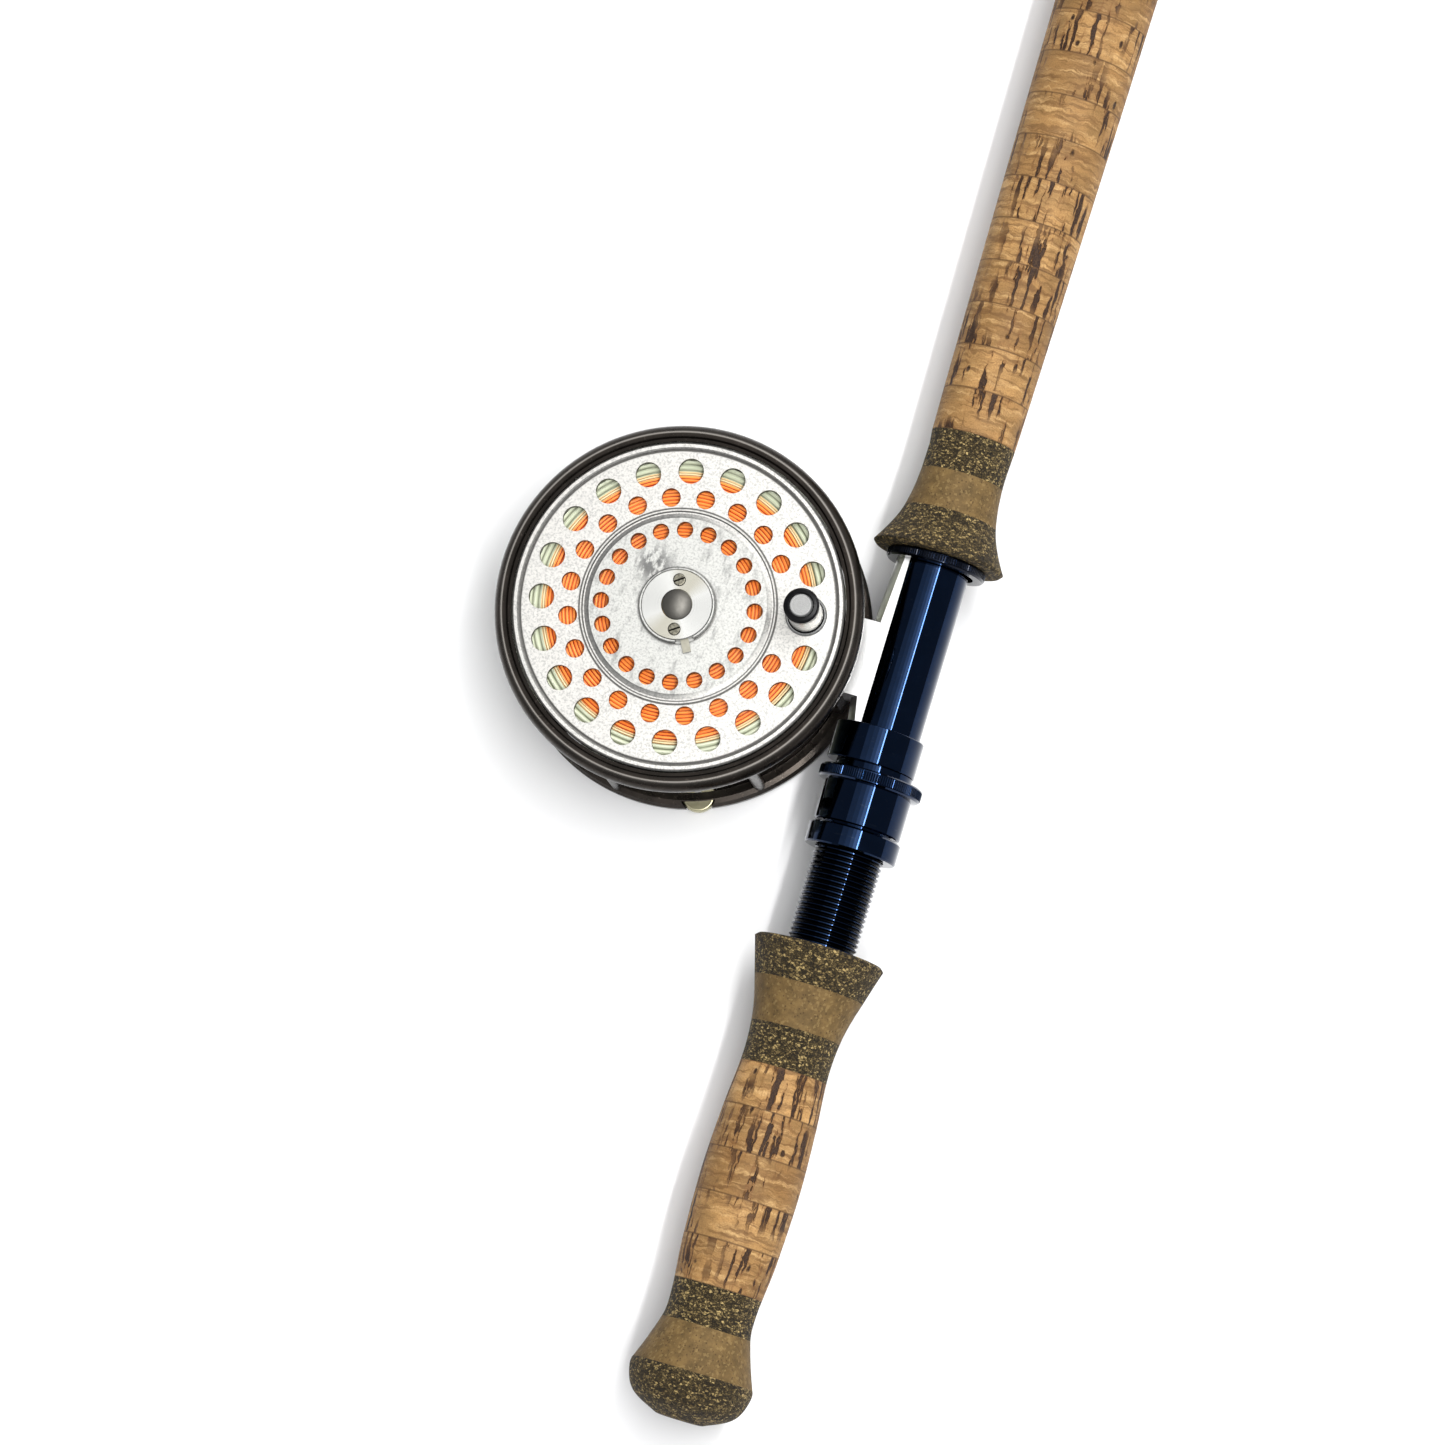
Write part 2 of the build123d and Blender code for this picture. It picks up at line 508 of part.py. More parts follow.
def make_foot():
    """Cast foot: a saddle with flat sides, thickest at the block that meets the frame."""
    saddle_r = BARREL_R + 0.03
    low, high = FOOT_BLOCK_Y
    saddle = saddle_sector([(saddle_r, FOOT_END_Y[0]), (11.0, FOOT_END_Y[0]), (11.25, HOOD_MOUTH_Y),
                            (12.35, low), (12.1, high), (10.85, FOOT_END_Y[1]),
                            (saddle_r, FOOT_END_Y[1])], FOOT_HALF_ANGLE)
    with BuildPart() as foot:
        add(saddle)
        with Locations((ROD_X, 0, ROD_Z)):
            Box(40, 100, 2 * FOOT_HALF_WIDTH, mode=Mode.INTERSECT)
        with BuildSketch(Plane.XY.offset(ROD_Z - FOOT_HALF_WIDTH)):
            with BuildLine():
                Polyline((46.0, low), (57.0, low), (57.0, high), (46.0, high), close=True)
            make_face()
            Circle(WALL_R + 0.02, mode=Mode.SUBTRACT)
        extrude(amount=2 * FOOT_HALF_WIDTH)
        with BuildSketch(Plane((ROD_X, 0, ROD_Z), x_dir=(1, 0, 0), z_dir=(0, 1, 0)).offset(-40)):
            Circle(saddle_r)
        extrude(amount=80, mode=Mode.SUBTRACT)
        for y, z in FOOT_SCREWS:
            with BuildSketch(Plane((SCREW_SEAT_X, y, z), z_dir=(1, 0, 0))):
                Circle(1.02)
            extrude(amount=4.0, mode=Mode.SUBTRACT)
    save(foot.part, "reel_foot")
    screws = []
    for y, z in FOOT_SCREWS:
        with BuildPart() as screw:
            with BuildSketch(Plane((SCREW_SEAT_X - 0.8, y, z), z_dir=(1, 0, 0))):
                Circle(1.25)
            extrude(amount=0.79)
            with BuildSketch(Plane((SCREW_SEAT_X - 0.1, y, z), z_dir=(1, 0, 0))):
                Circle(1.0)
            extrude(amount=3.8)
            with Locations((SCREW_SEAT_X - 0.8, y, z)):
                Box(0.7, 0.4, 3.0, mode=Mode.SUBTRACT)
        screws.append(screw.part)
    save(Compound(children=screws), "foot_screws")


def make_check():
    """Click check on the back plate: pawl, leaf spring and posts, and the drag wheel at the rim."""
    pivot = around(PAWL_PIVOT_RADIUS, DRAG_ANGLE)
    outward = around(1.0, DRAG_ANGLE)
    side = Vector(outward.Y, -outward.X)
    anchor = around(ANCHOR_RADIUS, ANCHOR_ANGLE)
    posts = []
    for place in (pivot, anchor):
        with BuildPart() as post:
            with BuildSketch(Plane.XY.offset(POST_FOOT_Z + 0.05)):
                with Locations(place):
                    Circle(POST_R)
            extrude(amount=5.0)
        posts.append(post.part)
    save(Compound(children=posts), "check_posts")
    with BuildPart() as pawl:
        with BuildSketch(Plane.XY.offset(PAWL_Z)):
            with BuildLine():
                Polyline(pivot - outward * PAWL_REACH, pivot + side * 2.6, pivot + outward * 2.6 + side * 1.8,
                         pivot + outward * 2.6 - side * 1.8, pivot - side * 2.6, close=True)
            make_face()
            with Locations(pivot):
                Circle(POST_R + RUN_GAP, mode=Mode.SUBTRACT)
        extrude(amount=PAWL_THICK)
    save(pawl.part, "check_pawl")
    heel = pivot + outward * 2.95
    along = (heel + side * 4.0 - anchor).normalized()
    start = anchor + Vector(-along.Y, along.X) * 1.9 - along * 2.5
    with BuildPart() as spring:
        with BuildSketch(Plane.XY.offset(PAWL_Z)):
            with BuildLine() as leaf:
                Polyline(start, heel + side * 4.0, heel - side * 5.0)
                offset(leaf.line, amount=0.22)
            make_face()
        extrude(amount=PAWL_THICK - 0.2)
    save(spring.part, "check_spring")
    wheel_place = around(DRAG_RADIUS, DRAG_ANGLE)
    with BuildPart() as wheel:
        with BuildSketch(Plane.XY.offset(DRAG_FLOOR_Z + 0.15)):
            with Locations(wheel_place):
                Circle(DRAG_WHEEL_R)
        extrude(amount=DRAG_ROOF_Z - DRAG_FLOOR_Z - 0.35)
        fillet(wheel.edges().filter_by(GeomType.CIRCLE), 0.6)
        with BuildSketch(Plane.XY.offset(0.5)):
            with Locations(wheel_place):
                Circle(1.25)
        extrude(amount=7.0, mode=Mode.SUBTRACT)
    save(wheel.part, "drag_wheel")
    with BuildPart() as axle:
        with BuildSketch(Plane.XY.offset(DRAG_FLOOR_Z)):
            with Locations(wheel_place):
                Circle(1.2)
        extrude(amount=DRAG_ROOF_Z - DRAG_FLOOR_Z - 0.2)
    save(axle.part, "drag_axle")


# ---------------------------------------------------------------- spindle and spool
def make_spindle():
    """Fixed steel spindle with a domed nose and the groove that the latch drops into."""
    with BuildPart() as spindle:
        with BuildSketch(Plane.XZ):
            with BuildLine():
                dome = TangentArc((0, 45.5), (SPINDLE_R, 44.0), tangent=(1, 0))
                Polyline(dome @ 0, (0, 0), (SPINDLE_R, 0), (SPINDLE_R, 41.8), (3.5, 42.0), (3.5, 43.0),
                         (SPINDLE_R, 43.2), dome @ 1)
            make_face()
        revolve(axis=Axis.Z)
    save(spindle.part, "spindle")
    bush = turned_on_spindle([(SPINDLE_R + RUN_GAP, SPOOL_BACK_Z), (6.0, SPOOL_BACK_Z), (6.0, 41.6),
                              (SPINDLE_R + RUN_GAP, 41.6)])
    save(bush, "spool_bush")


def hole_places(row):
    """Centres of the lightening holes in one row, leaving out those that the handle takes."""
    radius, _ = HOLE_ROWS[row]
    shift = HOLE_PITCH / 2 if row == "middle" else 0.0
    angles = [HOLE_START + shift + HOLE_PITCH * n for n in range(20)]
    taken = {"outer": (0,), "middle": (0, 19), "inner": ()}[row]
    return [around(radius, angle) for n, angle in enumerate(angles) if n not in taken]


def make_spool():
    """Spool: drilled face, hollow drum, back flange, and the line wound between them."""
    hub_bore = 6.0 + GLUE_GAP
    handle = around(HANDLE_RADIUS, HOLE_START)
    rim = [(46.0, FACE_BACK_Z), (46.0, 36.8), (46.9, 36.8), (SPOOL_R, 37.2), (SPOOL_R, 41.3), (46.7, 41.75),
           (45.8, 41.75), (45.3, 41.3)]
    groove = [(45.3, 40.8), (44.7, 40.8), (44.7, FACE_Z)]
    rib = [(28.0, FACE_Z), (27.9, 41.5), (27.3, 41.5), (27.2, FACE_Z)]
    boss = [(26.7, FACE_Z), (25.3, 41.95), (10.9, 41.95)]
    hub_wall = [(10.9, 43.5), (10.6, 43.8), (10.2, 43.8), (10.2, 43.0), (9.85, 43.0), (9.85, 42.0)]
    disc = turned_on_spindle([(hub_bore, FACE_BACK_Z), *rim, *groove, *rib, *boss, *hub_wall,
                              (hub_bore, 42.0)])
    with BuildPart() as face:
        add(disc)
        for row, (_, hole_r) in HOLE_ROWS.items():
            with BuildSketch(Plane.XY.offset(FACE_BACK_Z - 1)):
                with Locations(*hole_places(row)):
                    Circle(hole_r)
            extrude(amount=5.0, mode=Mode.SUBTRACT)
        with BuildSketch(Plane.XY.offset(42.0)):
            with Locations(Location(around(10.4, TAB_ANGLE), TAB_ANGLE)):
                Rectangle(3.0, 5.4)
        extrude(amount=3.0, mode=Mode.SUBTRACT)
        with BuildSketch(Plane.XY.offset(FACE_BACK_Z - 1)):
            with Locations(handle):
                Circle(1.8 + GLUE_GAP)
            with Locations(*[around(CAP_SCREW_R, a) for a in CAP_SCREW_ANGLES]):
                Circle(0.95)
        extrude(amount=5.0, mode=Mode.SUBTRACT)
    save(face.part, "spool_face")
    drum = turned_on_spindle([(hub_bore, DRUM_BASE_Z + 0.02), (DRUM_R - 0.05, DRUM_BASE_Z + 0.02),
                              (DRUM_R - 0.05, FACE_BACK_Z - 0.02), (DRUM_R - 1.4, FACE_BACK_Z - 0.02),
                              (DRUM_R - 1.4, DRUM_BASE_Z + 1.6), (8.2, DRUM_BASE_Z + 1.6),
                              (8.2, FACE_BACK_Z - 0.02), (hub_bore, FACE_BACK_Z - 0.02)])
    save(drum, "spool_drum")
    flange = turned_on_spindle([(hub_bore, SPOOL_BACK_Z), (46.0, SPOOL_BACK_Z), (46.6, 8.2), (46.6, 9.6),
                                (46.0, 10.0), (45.4, DRUM_BASE_Z), (hub_bore, DRUM_BASE_Z)])
    with BuildPart() as back:
        add(flange)
        with BuildSketch(Plane.XY.offset(SPOOL_BACK_Z - 1)):
            with PolarLocations(33.0, 10):
                Circle(4.5)
            with PolarLocations(RATCHET_SCREW_R, 3):
                Circle(0.9)
        extrude(amount=4.0, mode=Mode.SUBTRACT)
    save(back.part, "spool_back")
    for name, inner, outer in LINE:
        coil = turned_on_spindle([(inner + 0.02, DRUM_BASE_Z + 0.2), (outer - 0.02, DRUM_BASE_Z + 0.2),
                                  (outer - 0.02, FACE_BACK_Z - 0.2), (inner + 0.02, FACE_BACK_Z - 0.2)])
        save(coil, name)


def make_ratchet():
    """Toothed wheel on the back of the spool, and the three screws that hold it."""
    corners = []
    for n in range(RATCHET_TEETH):
        start = DRAG_ANGLE + 360.0 * n / RATCHET_TEETH
        corners += [around(RATCHET_ROOT_R, start), around(RATCHET_TIP_R, start + 180.0 / RATCHET_TEETH)]
    with BuildPart() as gear:
        with BuildSketch(Plane.XY.offset(RATCHET_Z)):
            with BuildLine():
                Polyline(*corners, close=True)
            make_face()
            Circle(6.3, mode=Mode.SUBTRACT)
            with PolarLocations(RATCHET_SCREW_R, 3):
                Circle(0.9, mode=Mode.SUBTRACT)
        extrude(amount=SPOOL_BACK_Z - RATCHET_Z)
        with BuildSketch(Plane.XY.offset(RATCHET_Z)):
            with PolarLocations(RATCHET_SCREW_R, 3):
                Circle(1.75)
        extrude(amount=0.9, mode=Mode.SUBTRACT)
    save(gear.part, "ratchet_wheel")
    screws = []
    for n in range(3):
        place = around(RATCHET_SCREW_R, 120.0 * n)
        with BuildPart() as screw:
            with BuildSketch(Plane.XY.offset(5.0)):
                with Locations(place):
                    Circle(1.7)
            extrude(amount=0.8)
            with BuildSketch(Plane.XY.offset(5.5)):
                with Locations(place):
                    Circle(0.85)
            extrude(amount=3.6)
            with Locations((place.X, place.Y, 5.0)):
                Box(4.0, 0.4, 0.7, mode=Mode.SUBTRACT)
        screws.append(screw.part)
    save(Compound(children=screws), "ratchet_screws")


def make_latch():
    """Spool latch: a lever that turns on one cap screw, its wire spring, the cap and the screws."""
    places = [around(CAP_SCREW_R, a) for a in CAP_SCREW_ANGLES]
    pivot = places[0]
    low, high = LATCH_Z
    toward_pivot = pivot / pivot.length
    across = Vector(-toward_pivot.Y, toward_pivot.X)
    with BuildPart() as lever:
        with BuildSketch(Plane.XY.offset(low)):
            Circle(8.9)
            with Locations(Location(around(10.6, TAB_ANGLE), TAB_ANGLE)):
                Rectangle(6.4, 2.3)
            with Locations(across * 0.45):
                Circle(4.3, mode=Mode.SUBTRACT)
            with Locations(pivot):
                Circle(0.85 + RUN_GAP, mode=Mode.SUBTRACT)
            with Locations(Location(places[1], CAP_SCREW_ANGLES[0] + 90)):
                SlotOverall(7.4, 2.6, mode=Mode.SUBTRACT)
        extrude(amount=high - low)
    save(lever.part, "latch_lever")
    with BuildPart() as spring:
        with BuildSketch(Plane.XZ):
            with Locations((9.6, (low + high) / 2)):
                Circle(0.15)
        revolve(axis=Axis.Z, revolution_arc=100.0)
    save(spring.part.rotate(Axis.Z, -30.0), "latch_spring")
    with BuildPart() as cap:
        with BuildSketch(Plane.XY.offset(43.02)):
            Circle(10.15)
            Circle(SPINDLE_R + 0.25, mode=Mode.SUBTRACT)
            with Locations(*places):
                Circle(0.95, mode=Mode.SUBTRACT)
        extrude(amount=1.0)
        chamfer(cap.faces().sort_by(Axis.Z)[-1].outer_wire().edges(), 0.25)
        with BuildSketch(Plane.XY.offset(43.4)):
            with Locations(*places):
                Circle(1.85)
        extrude(amount=1.0, mode=Mode.SUBTRACT)
    save(cap.part, "latch_cap")
    screws = []
    for place in places:
        with BuildPart() as screw:
            with BuildSketch(Plane.XY.offset(43.42)):
                with Locations(place):
                    Circle(1.75)
            extrude(amount=0.85)
            fillet(screw.faces().sort_by(Axis.Z)[-1].edges(), 0.3)
            with BuildSketch(Plane.XY.offset(39.6)):
                with Locations(place):
                    Circle(0.85)
            extrude(amount=3.9)
            with Locations((place.X, place.Y, 44.2)):
                Box(4.0, 0.5, 0.7, rotation=(0, 0, 35), mode=Mode.SUBTRACT)
        screws.append(screw.part)
    save(Compound(children=screws), "cap_screws")


def turned_on_handle(outline):
    """A solid of revolution about the handle's pin, from (radius, z) corners."""
    place = around(HANDLE_RADIUS, HOLE_START)
    with BuildPart() as turned:
        with BuildSketch(Plane((place.X, place.Y, 0), x_dir=(1, 0, 0), z_dir=(0, -1, 0))):
            with BuildLine():
                Polyline(*outline, close=True)
            make_face()
        revolve(axis=Axis((place.X, place.Y, 0), (0, 0, 1)))
    return turned.part


def make_handle():
    """Winding handle: a flange and headed pin fixed in the spool, and the knob that turns on it."""
    pin_r = 1.8
    rings = [
        [(pin_r + RUN_GAP, 42.15), (5.0, 42.15), (5.3, 42.4), (5.3, 42.75), (5.0, 42.98),
         (pin_r + RUN_GAP, 42.98)],
        [(pin_r + RUN_GAP, 54.52), (4.6, 54.52), (5.05, 55.0), (5.05, 56.6), (4.5, 57.3),
         (3.7, 57.5), (3.45, 57.3), (3.45, 56.3), (pin_r + RUN_GAP, 56.3)],
    ]
    outlines = {
        "handle_flange": [(pin_r + GLUE_GAP, FACE_Z + 0.02), (5.9, FACE_Z + 0.02), (5.9, 41.7), (5.5, 42.05),
                          (pin_r + GLUE_GAP, 42.05)],
        "handle_pin": [(0, 39.6), (pin_r, 39.6), (pin_r, 56.4), (3.35, 56.4), (3.35, 57.35), (2.95, 57.7),
                       (0, 57.7)],
        "handle_knob": [(pin_r + RUN_GAP, 43.0), (4.75, 43.0), (4.95, 43.4), (4.8, 47.0), (4.7, 50.0),
                        (4.8, 53.4), (4.55, 54.5), (pin_r + RUN_GAP, 54.5)],
    }
    for name, outline in outlines.items():
        save(turned_on_handle(outline), name)
    save(Compound(children=[turned_on_handle(outline) for outline in rings]), "handle_rings")


make_lower_grip()
make_fore_grip()
make_barrel()
make_hoods()
make_blanks()
make_guides()
make_tip_top()
make_frame()
make_foot()
make_check()
make_spindle()
make_spool()
make_ratchet()
make_latch()
make_handle()
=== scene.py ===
import math
import random

import bmesh
import bpy
from mathutils import Matrix, Vector


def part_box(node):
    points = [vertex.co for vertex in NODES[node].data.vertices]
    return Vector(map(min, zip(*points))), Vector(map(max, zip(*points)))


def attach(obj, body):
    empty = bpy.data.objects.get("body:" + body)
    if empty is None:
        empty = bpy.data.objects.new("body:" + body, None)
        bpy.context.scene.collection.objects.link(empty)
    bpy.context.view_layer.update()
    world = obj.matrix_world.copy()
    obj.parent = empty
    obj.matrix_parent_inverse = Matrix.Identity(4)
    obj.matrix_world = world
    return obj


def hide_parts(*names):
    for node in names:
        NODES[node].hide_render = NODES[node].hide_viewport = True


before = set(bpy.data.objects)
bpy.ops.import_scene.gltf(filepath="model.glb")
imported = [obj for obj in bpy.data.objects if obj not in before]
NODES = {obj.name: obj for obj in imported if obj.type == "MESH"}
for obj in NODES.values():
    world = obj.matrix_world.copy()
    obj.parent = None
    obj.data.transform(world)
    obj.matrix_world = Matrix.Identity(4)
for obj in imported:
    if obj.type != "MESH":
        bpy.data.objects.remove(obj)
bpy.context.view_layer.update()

MM = 0.001


def centre_of(node):
    """Middle of a CAD node's box."""
    low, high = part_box(node)
    return (low + high) / 2


def half_width(node):
    """Radius of a round CAD node."""
    low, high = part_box(node)
    return (high.x - low.x) / 2


ROD_AXIS = centre_of("reel_seat_barrel")  # the rod runs along +Y through this x and z
SPINDLE = centre_of("spindle")
HANDLE = centre_of("handle_pin")
CAP_SCREW_R = 1.75 * MM            # radius of a cap screw's head
FACE_REACH = 50 * MM               # radius that the spool face's worn disc and painted groove shade are drawn over
FRAME_REACH = 60 * MM              # radius that the frame's painted shade and highlight are drawn over
FRAME_DEPTH = 50 * MM              # height that the frame's painted shade and highlight are drawn over
SEAT_R = 10 * MM                   # outer radius of the reel seat's thread
SCUFF = Vector((-0.0100, 0.0095, 0))  # middle of the worn patch beside the spool cap
SCUFF_REACH = 10 * MM
# where each toothed band starts and ends along the rod
NUT_KNURL = (-32.45 * MM, -29.55 * MM)
COLLAR_REEDING = (33.35 * MM, 35.45 * MM)
NUT_TEETH, COLLAR_TEETH, WHEEL_TEETH = 140, 120, 60
WHEEL_INSET = 0.7 * MM             # plain edge above and below the drag wheel's milling
# painted shade in the grooves and at the steps of the spool face, as (share of FACE_REACH, amount)
GROOVE_SHADE = [(0.216, 0.0), (0.220, 0.9), (0.228, 0.0), (0.504, 0.0), (0.510, 0.35), (0.518, 0.0),
                (0.539, 0.0), (0.543, 1.0), (0.548, 1.0), (0.551, 0.0), (0.556, 0.0), (0.560, 1.0),
                (0.566, 1.0), (0.570, 0.0), (0.889, 0.0), (0.895, 1.0), (0.905, 1.0), (0.909, 0.0),
                (0.935, 0.0), (0.942, 0.7)]


# ---------------------------------------------------------------- shader building
class Surface:
    """A material under construction. Each method adds one shader node and returns its output."""

    def __init__(self, name):
        self.material = bpy.data.materials.new(name)
        self.material.use_nodes = True
        self.tree = self.material.node_tree
        self.tree.nodes.clear()
        output = self.tree.nodes.new("ShaderNodeOutputMaterial")
        self.shader = self.tree.nodes.new("ShaderNodeBsdfPrincipled")
        self.tree.links.new(self.shader.outputs[0], output.inputs["Surface"])

    def put(self, value, socket):
        """Gives a socket a constant, or links another node's output to it."""
        if isinstance(value, bpy.types.NodeSocket):
            self.tree.links.new(value, socket)
        else:
            socket.default_value = value

    def set(self, **values):
        """Sets the shader's own sockets by name, with _ for a space."""
        for name, value in values.items():
            if name == "Base_Color" and not isinstance(value, bpy.types.NodeSocket):
                value = (*value, 1.0)
            self.put(value, self.shader.inputs[name.replace("_", " ")])
        return self

    def add(self, kind, values=(), **settings):
        node = self.tree.nodes.new("ShaderNode" + kind)
        for name, value in settings.items():
            setattr(node, name, value)
        for key, value in dict(values).items():
            self.put(value, node.inputs[key])
        return node

    def place(self):
        """Object coordinates in metres: the same in every pose."""
        return self.add("TexCoord").outputs["Object"]

    def sum(self, operation, first, second=0.0, third=0.0):
        return self.add("Math", {0: first, 1: second, 2: third}, operation=operation).outputs[0]

    def stretched(self, scale, offset=(0, 0, 0), vector=None):
        """Coordinates scaled on each axis, so that a texture is drawn out along the others."""
        source = self.place() if vector is None else vector
        return self.add("Mapping", {"Vector": source, "Scale": scale, "Location": offset}).outputs[0]

    def noise(self, vector, scale=1.0, detail=3.0, rough=0.5, distortion=0.0):
        values = {"Vector": vector, "Scale": scale, "Detail": detail, "Roughness": rough,
                  "Distortion": distortion}
        return self.add("TexNoise", values).outputs["Fac"]

    def cells(self, vector, scale=1.0, feature="F1", randomness=1.0):
        values = {"Vector": vector, "Scale": scale, "Randomness": randomness}
        return self.add("TexVoronoi", values, feature=feature)

    def ramp(self, factor, stops):
        """Maps 0..1 onto colours or greys, from (position, value) stops."""
        node = self.add("ValToRGB", {"Fac": factor})
        while len(node.color_ramp.elements) < len(stops):
            node.color_ramp.elements.new(1.0)
        for element, (position, value) in zip(node.color_ramp.elements, stops):
            element.position = position
            element.color = (*value, 1.0) if isinstance(value, tuple) else (value, value, value, 1.0)
        return node.outputs["Color"]

    def mix(self, factor, first, second, blend="MIX"):
        node = self.add("Mix", data_type="RGBA", blend_type=blend)
        self.put(factor, node.inputs[0])
        for value, socket in ((first, node.inputs[6]), (second, node.inputs[7])):
            self.put((*value, 1.0) if isinstance(value, tuple) else value, socket)
        return node.outputs[2]

    def bump(self, height, distance, strength=1.0, under=None):
        values = {"Height": height, "Distance": distance, "Strength": strength}
        if under is not None:
            values["Normal"] = under
        return self.add("Bump", values).outputs[0]

    def axis(self, letter, vector=None):
        """One coordinate of the place."""
        node = self.add("SeparateXYZ", {0: self.place() if vector is None else vector})
        return node.outputs["XYZ".index(letter)]

    def reach(self, centre, plane):
        """Distance from an axis through centre, measured in the named plane."""
        moved = self.add("VectorMath", {0: self.place(), 1: tuple(centre)}, operation="SUBTRACT").outputs[0]
        keep = tuple(1.0 if letter in plane else 0.0 for letter in "XYZ")
        flat = self.add("VectorMath", {0: moved, 1: keep}, operation="MULTIPLY").outputs[0]
        return self.add("VectorMath", {0: flat}, operation="LENGTH").outputs["Value"]


def srgb(red, green, blue):
    """A colour given as it looks on a screen, 0 to 255, as the linear values a shader takes."""
    def linear(value):
        value /= 255
        return value / 12.92 if value <= 0.04045 else ((value + 0.055) / 1.055) ** 2.4
    return linear(red), linear(green), linear(blue)


# ---------------------------------------------------------------- cork
RING = 12.7 * MM


def ring_cells(s, first_joint):
    """Which cork ring a point is in, a random value for it, and the distance to its nearer joint."""
    turns = s.sum("DIVIDE", s.sum("SUBTRACT", s.axis("Y"), first_joint), RING)
    number = s.sum("FLOOR", turns)
    chance = s.add("TexWhiteNoise", {"W": s.sum("ADD", number, 3.7)}, noise_dimensions="1D").outputs["Value"]
    share = s.sum("FRACT", turns)
    edge = s.sum("MULTIPLY", s.sum("MINIMUM", share, s.sum("SUBTRACT", 1.0, share)), RING)
    return number, chance, edge


def natural_cork(name, first_joint):
    """Natural cork: wavy growth lines across each ring, and dark slits along the rod."""
    s = Surface(name)
    number, chance, edge = ring_cells(s, first_joint)
    jump = s.add("CombineXYZ", {"X": s.sum("MULTIPLY", number, 0.137), "Z": s.sum("MULTIPLY", number, 0.071)})
    shifted = s.add("VectorMath", {0: s.place(), 1: jump.outputs[0]}, operation="ADD").outputs[0]
    wander = s.add("TexNoise", {"Vector": shifted, "Scale": 330.0, "Detail": 3.0}).outputs["Color"]
    wander = s.add("VectorMath", {0: wander, 1: (0.0014, 0.0030, 0.0014)}, operation="MULTIPLY").outputs[0]
    waved = s.add("VectorMath", {0: shifted, 1: wander}, operation="ADD").outputs[0]
    base = s.mix(chance, srgb(184, 142, 88), srgb(140, 104, 60))
    patches = s.noise(s.stretched((110, 160, 110), vector=shifted), 1.0, 4.0, 0.6)
    base = s.mix(s.ramp(patches, [(0.40, 0.0), (0.66, 0.8)]), base, srgb(128, 98, 58))
    pale = s.noise(s.stretched((90, 620, 90), (3, 1, 7), waved), 1.0, 4.0, 0.6)
    base = s.mix(s.ramp(pale, [(0.52, 0.0), (0.68, 0.7)]), base, srgb(202, 164, 110))
    bands = s.noise(s.stretched((70, 760, 70), vector=waved), 1.0, 5.0, 0.7)
    base = s.mix(s.ramp(bands, [(0.50, 0.0), (0.58, 0.65), (0.70, 0.9)]), base, srgb(106, 74, 40))
    crowd = s.noise(s.stretched((62, 46, 62), (5, 0, 2), shifted), 1.0, 2.0)
    crowd = s.ramp(crowd, [(0.42, 0.0), (0.54, 1.0)])
    lines = s.noise(s.stretched((560, 46, 560), (1, 0, 4), waved), 1.0, 3.0, 0.55)
    stain = s.mix(1.0, s.ramp(lines, [(0.49, 0.0), (0.58, 0.8)]), crowd, "MULTIPLY")
    base = s.mix(stain, base, srgb(112, 72, 38))
    slits = s.mix(1.0, s.ramp(lines, [(0.555, 0.0), (0.585, 1.0)]), crowd, "MULTIPLY")
    pits = s.cells(s.stretched((260, 150, 260), vector=waved))
    pit = s.mix(1.0, s.ramp(pits.outputs["Distance"], [(0.10, 1.0), (0.20, 0.0)]),
                s.ramp(s.axis("X", pits.outputs["Color"]), [(0.70, 0.0), (0.74, 1.0)]), "MULTIPLY")
    slits = s.mix(1.0, slits, pit, "LIGHTEN")
    base = s.mix(slits, base, srgb(40, 22, 11))
    joint = s.ramp(s.sum("DIVIDE", edge, 0.5 * MM), [(0.2, 0.8), (0.65, 0.0)])
    base = s.mix(joint, base, srgb(84, 58, 32))
    grain = s.noise(s.place(), 2400.0, 3.0)
    base = s.mix(s.ramp(grain, [(0.30, 0.4), (0.58, 0.0)]), base, srgb(98, 70, 38))
    relief = s.bump(s.sum("ADD", s.sum("MULTIPLY", slits, -1.0), s.sum("MULTIPLY", grain, 0.14)), 0.5 * MM)
    s.set(Base_Color=base, Roughness=0.7, Normal=relief, Specular_IOR_Level=0.3)
    return s.material


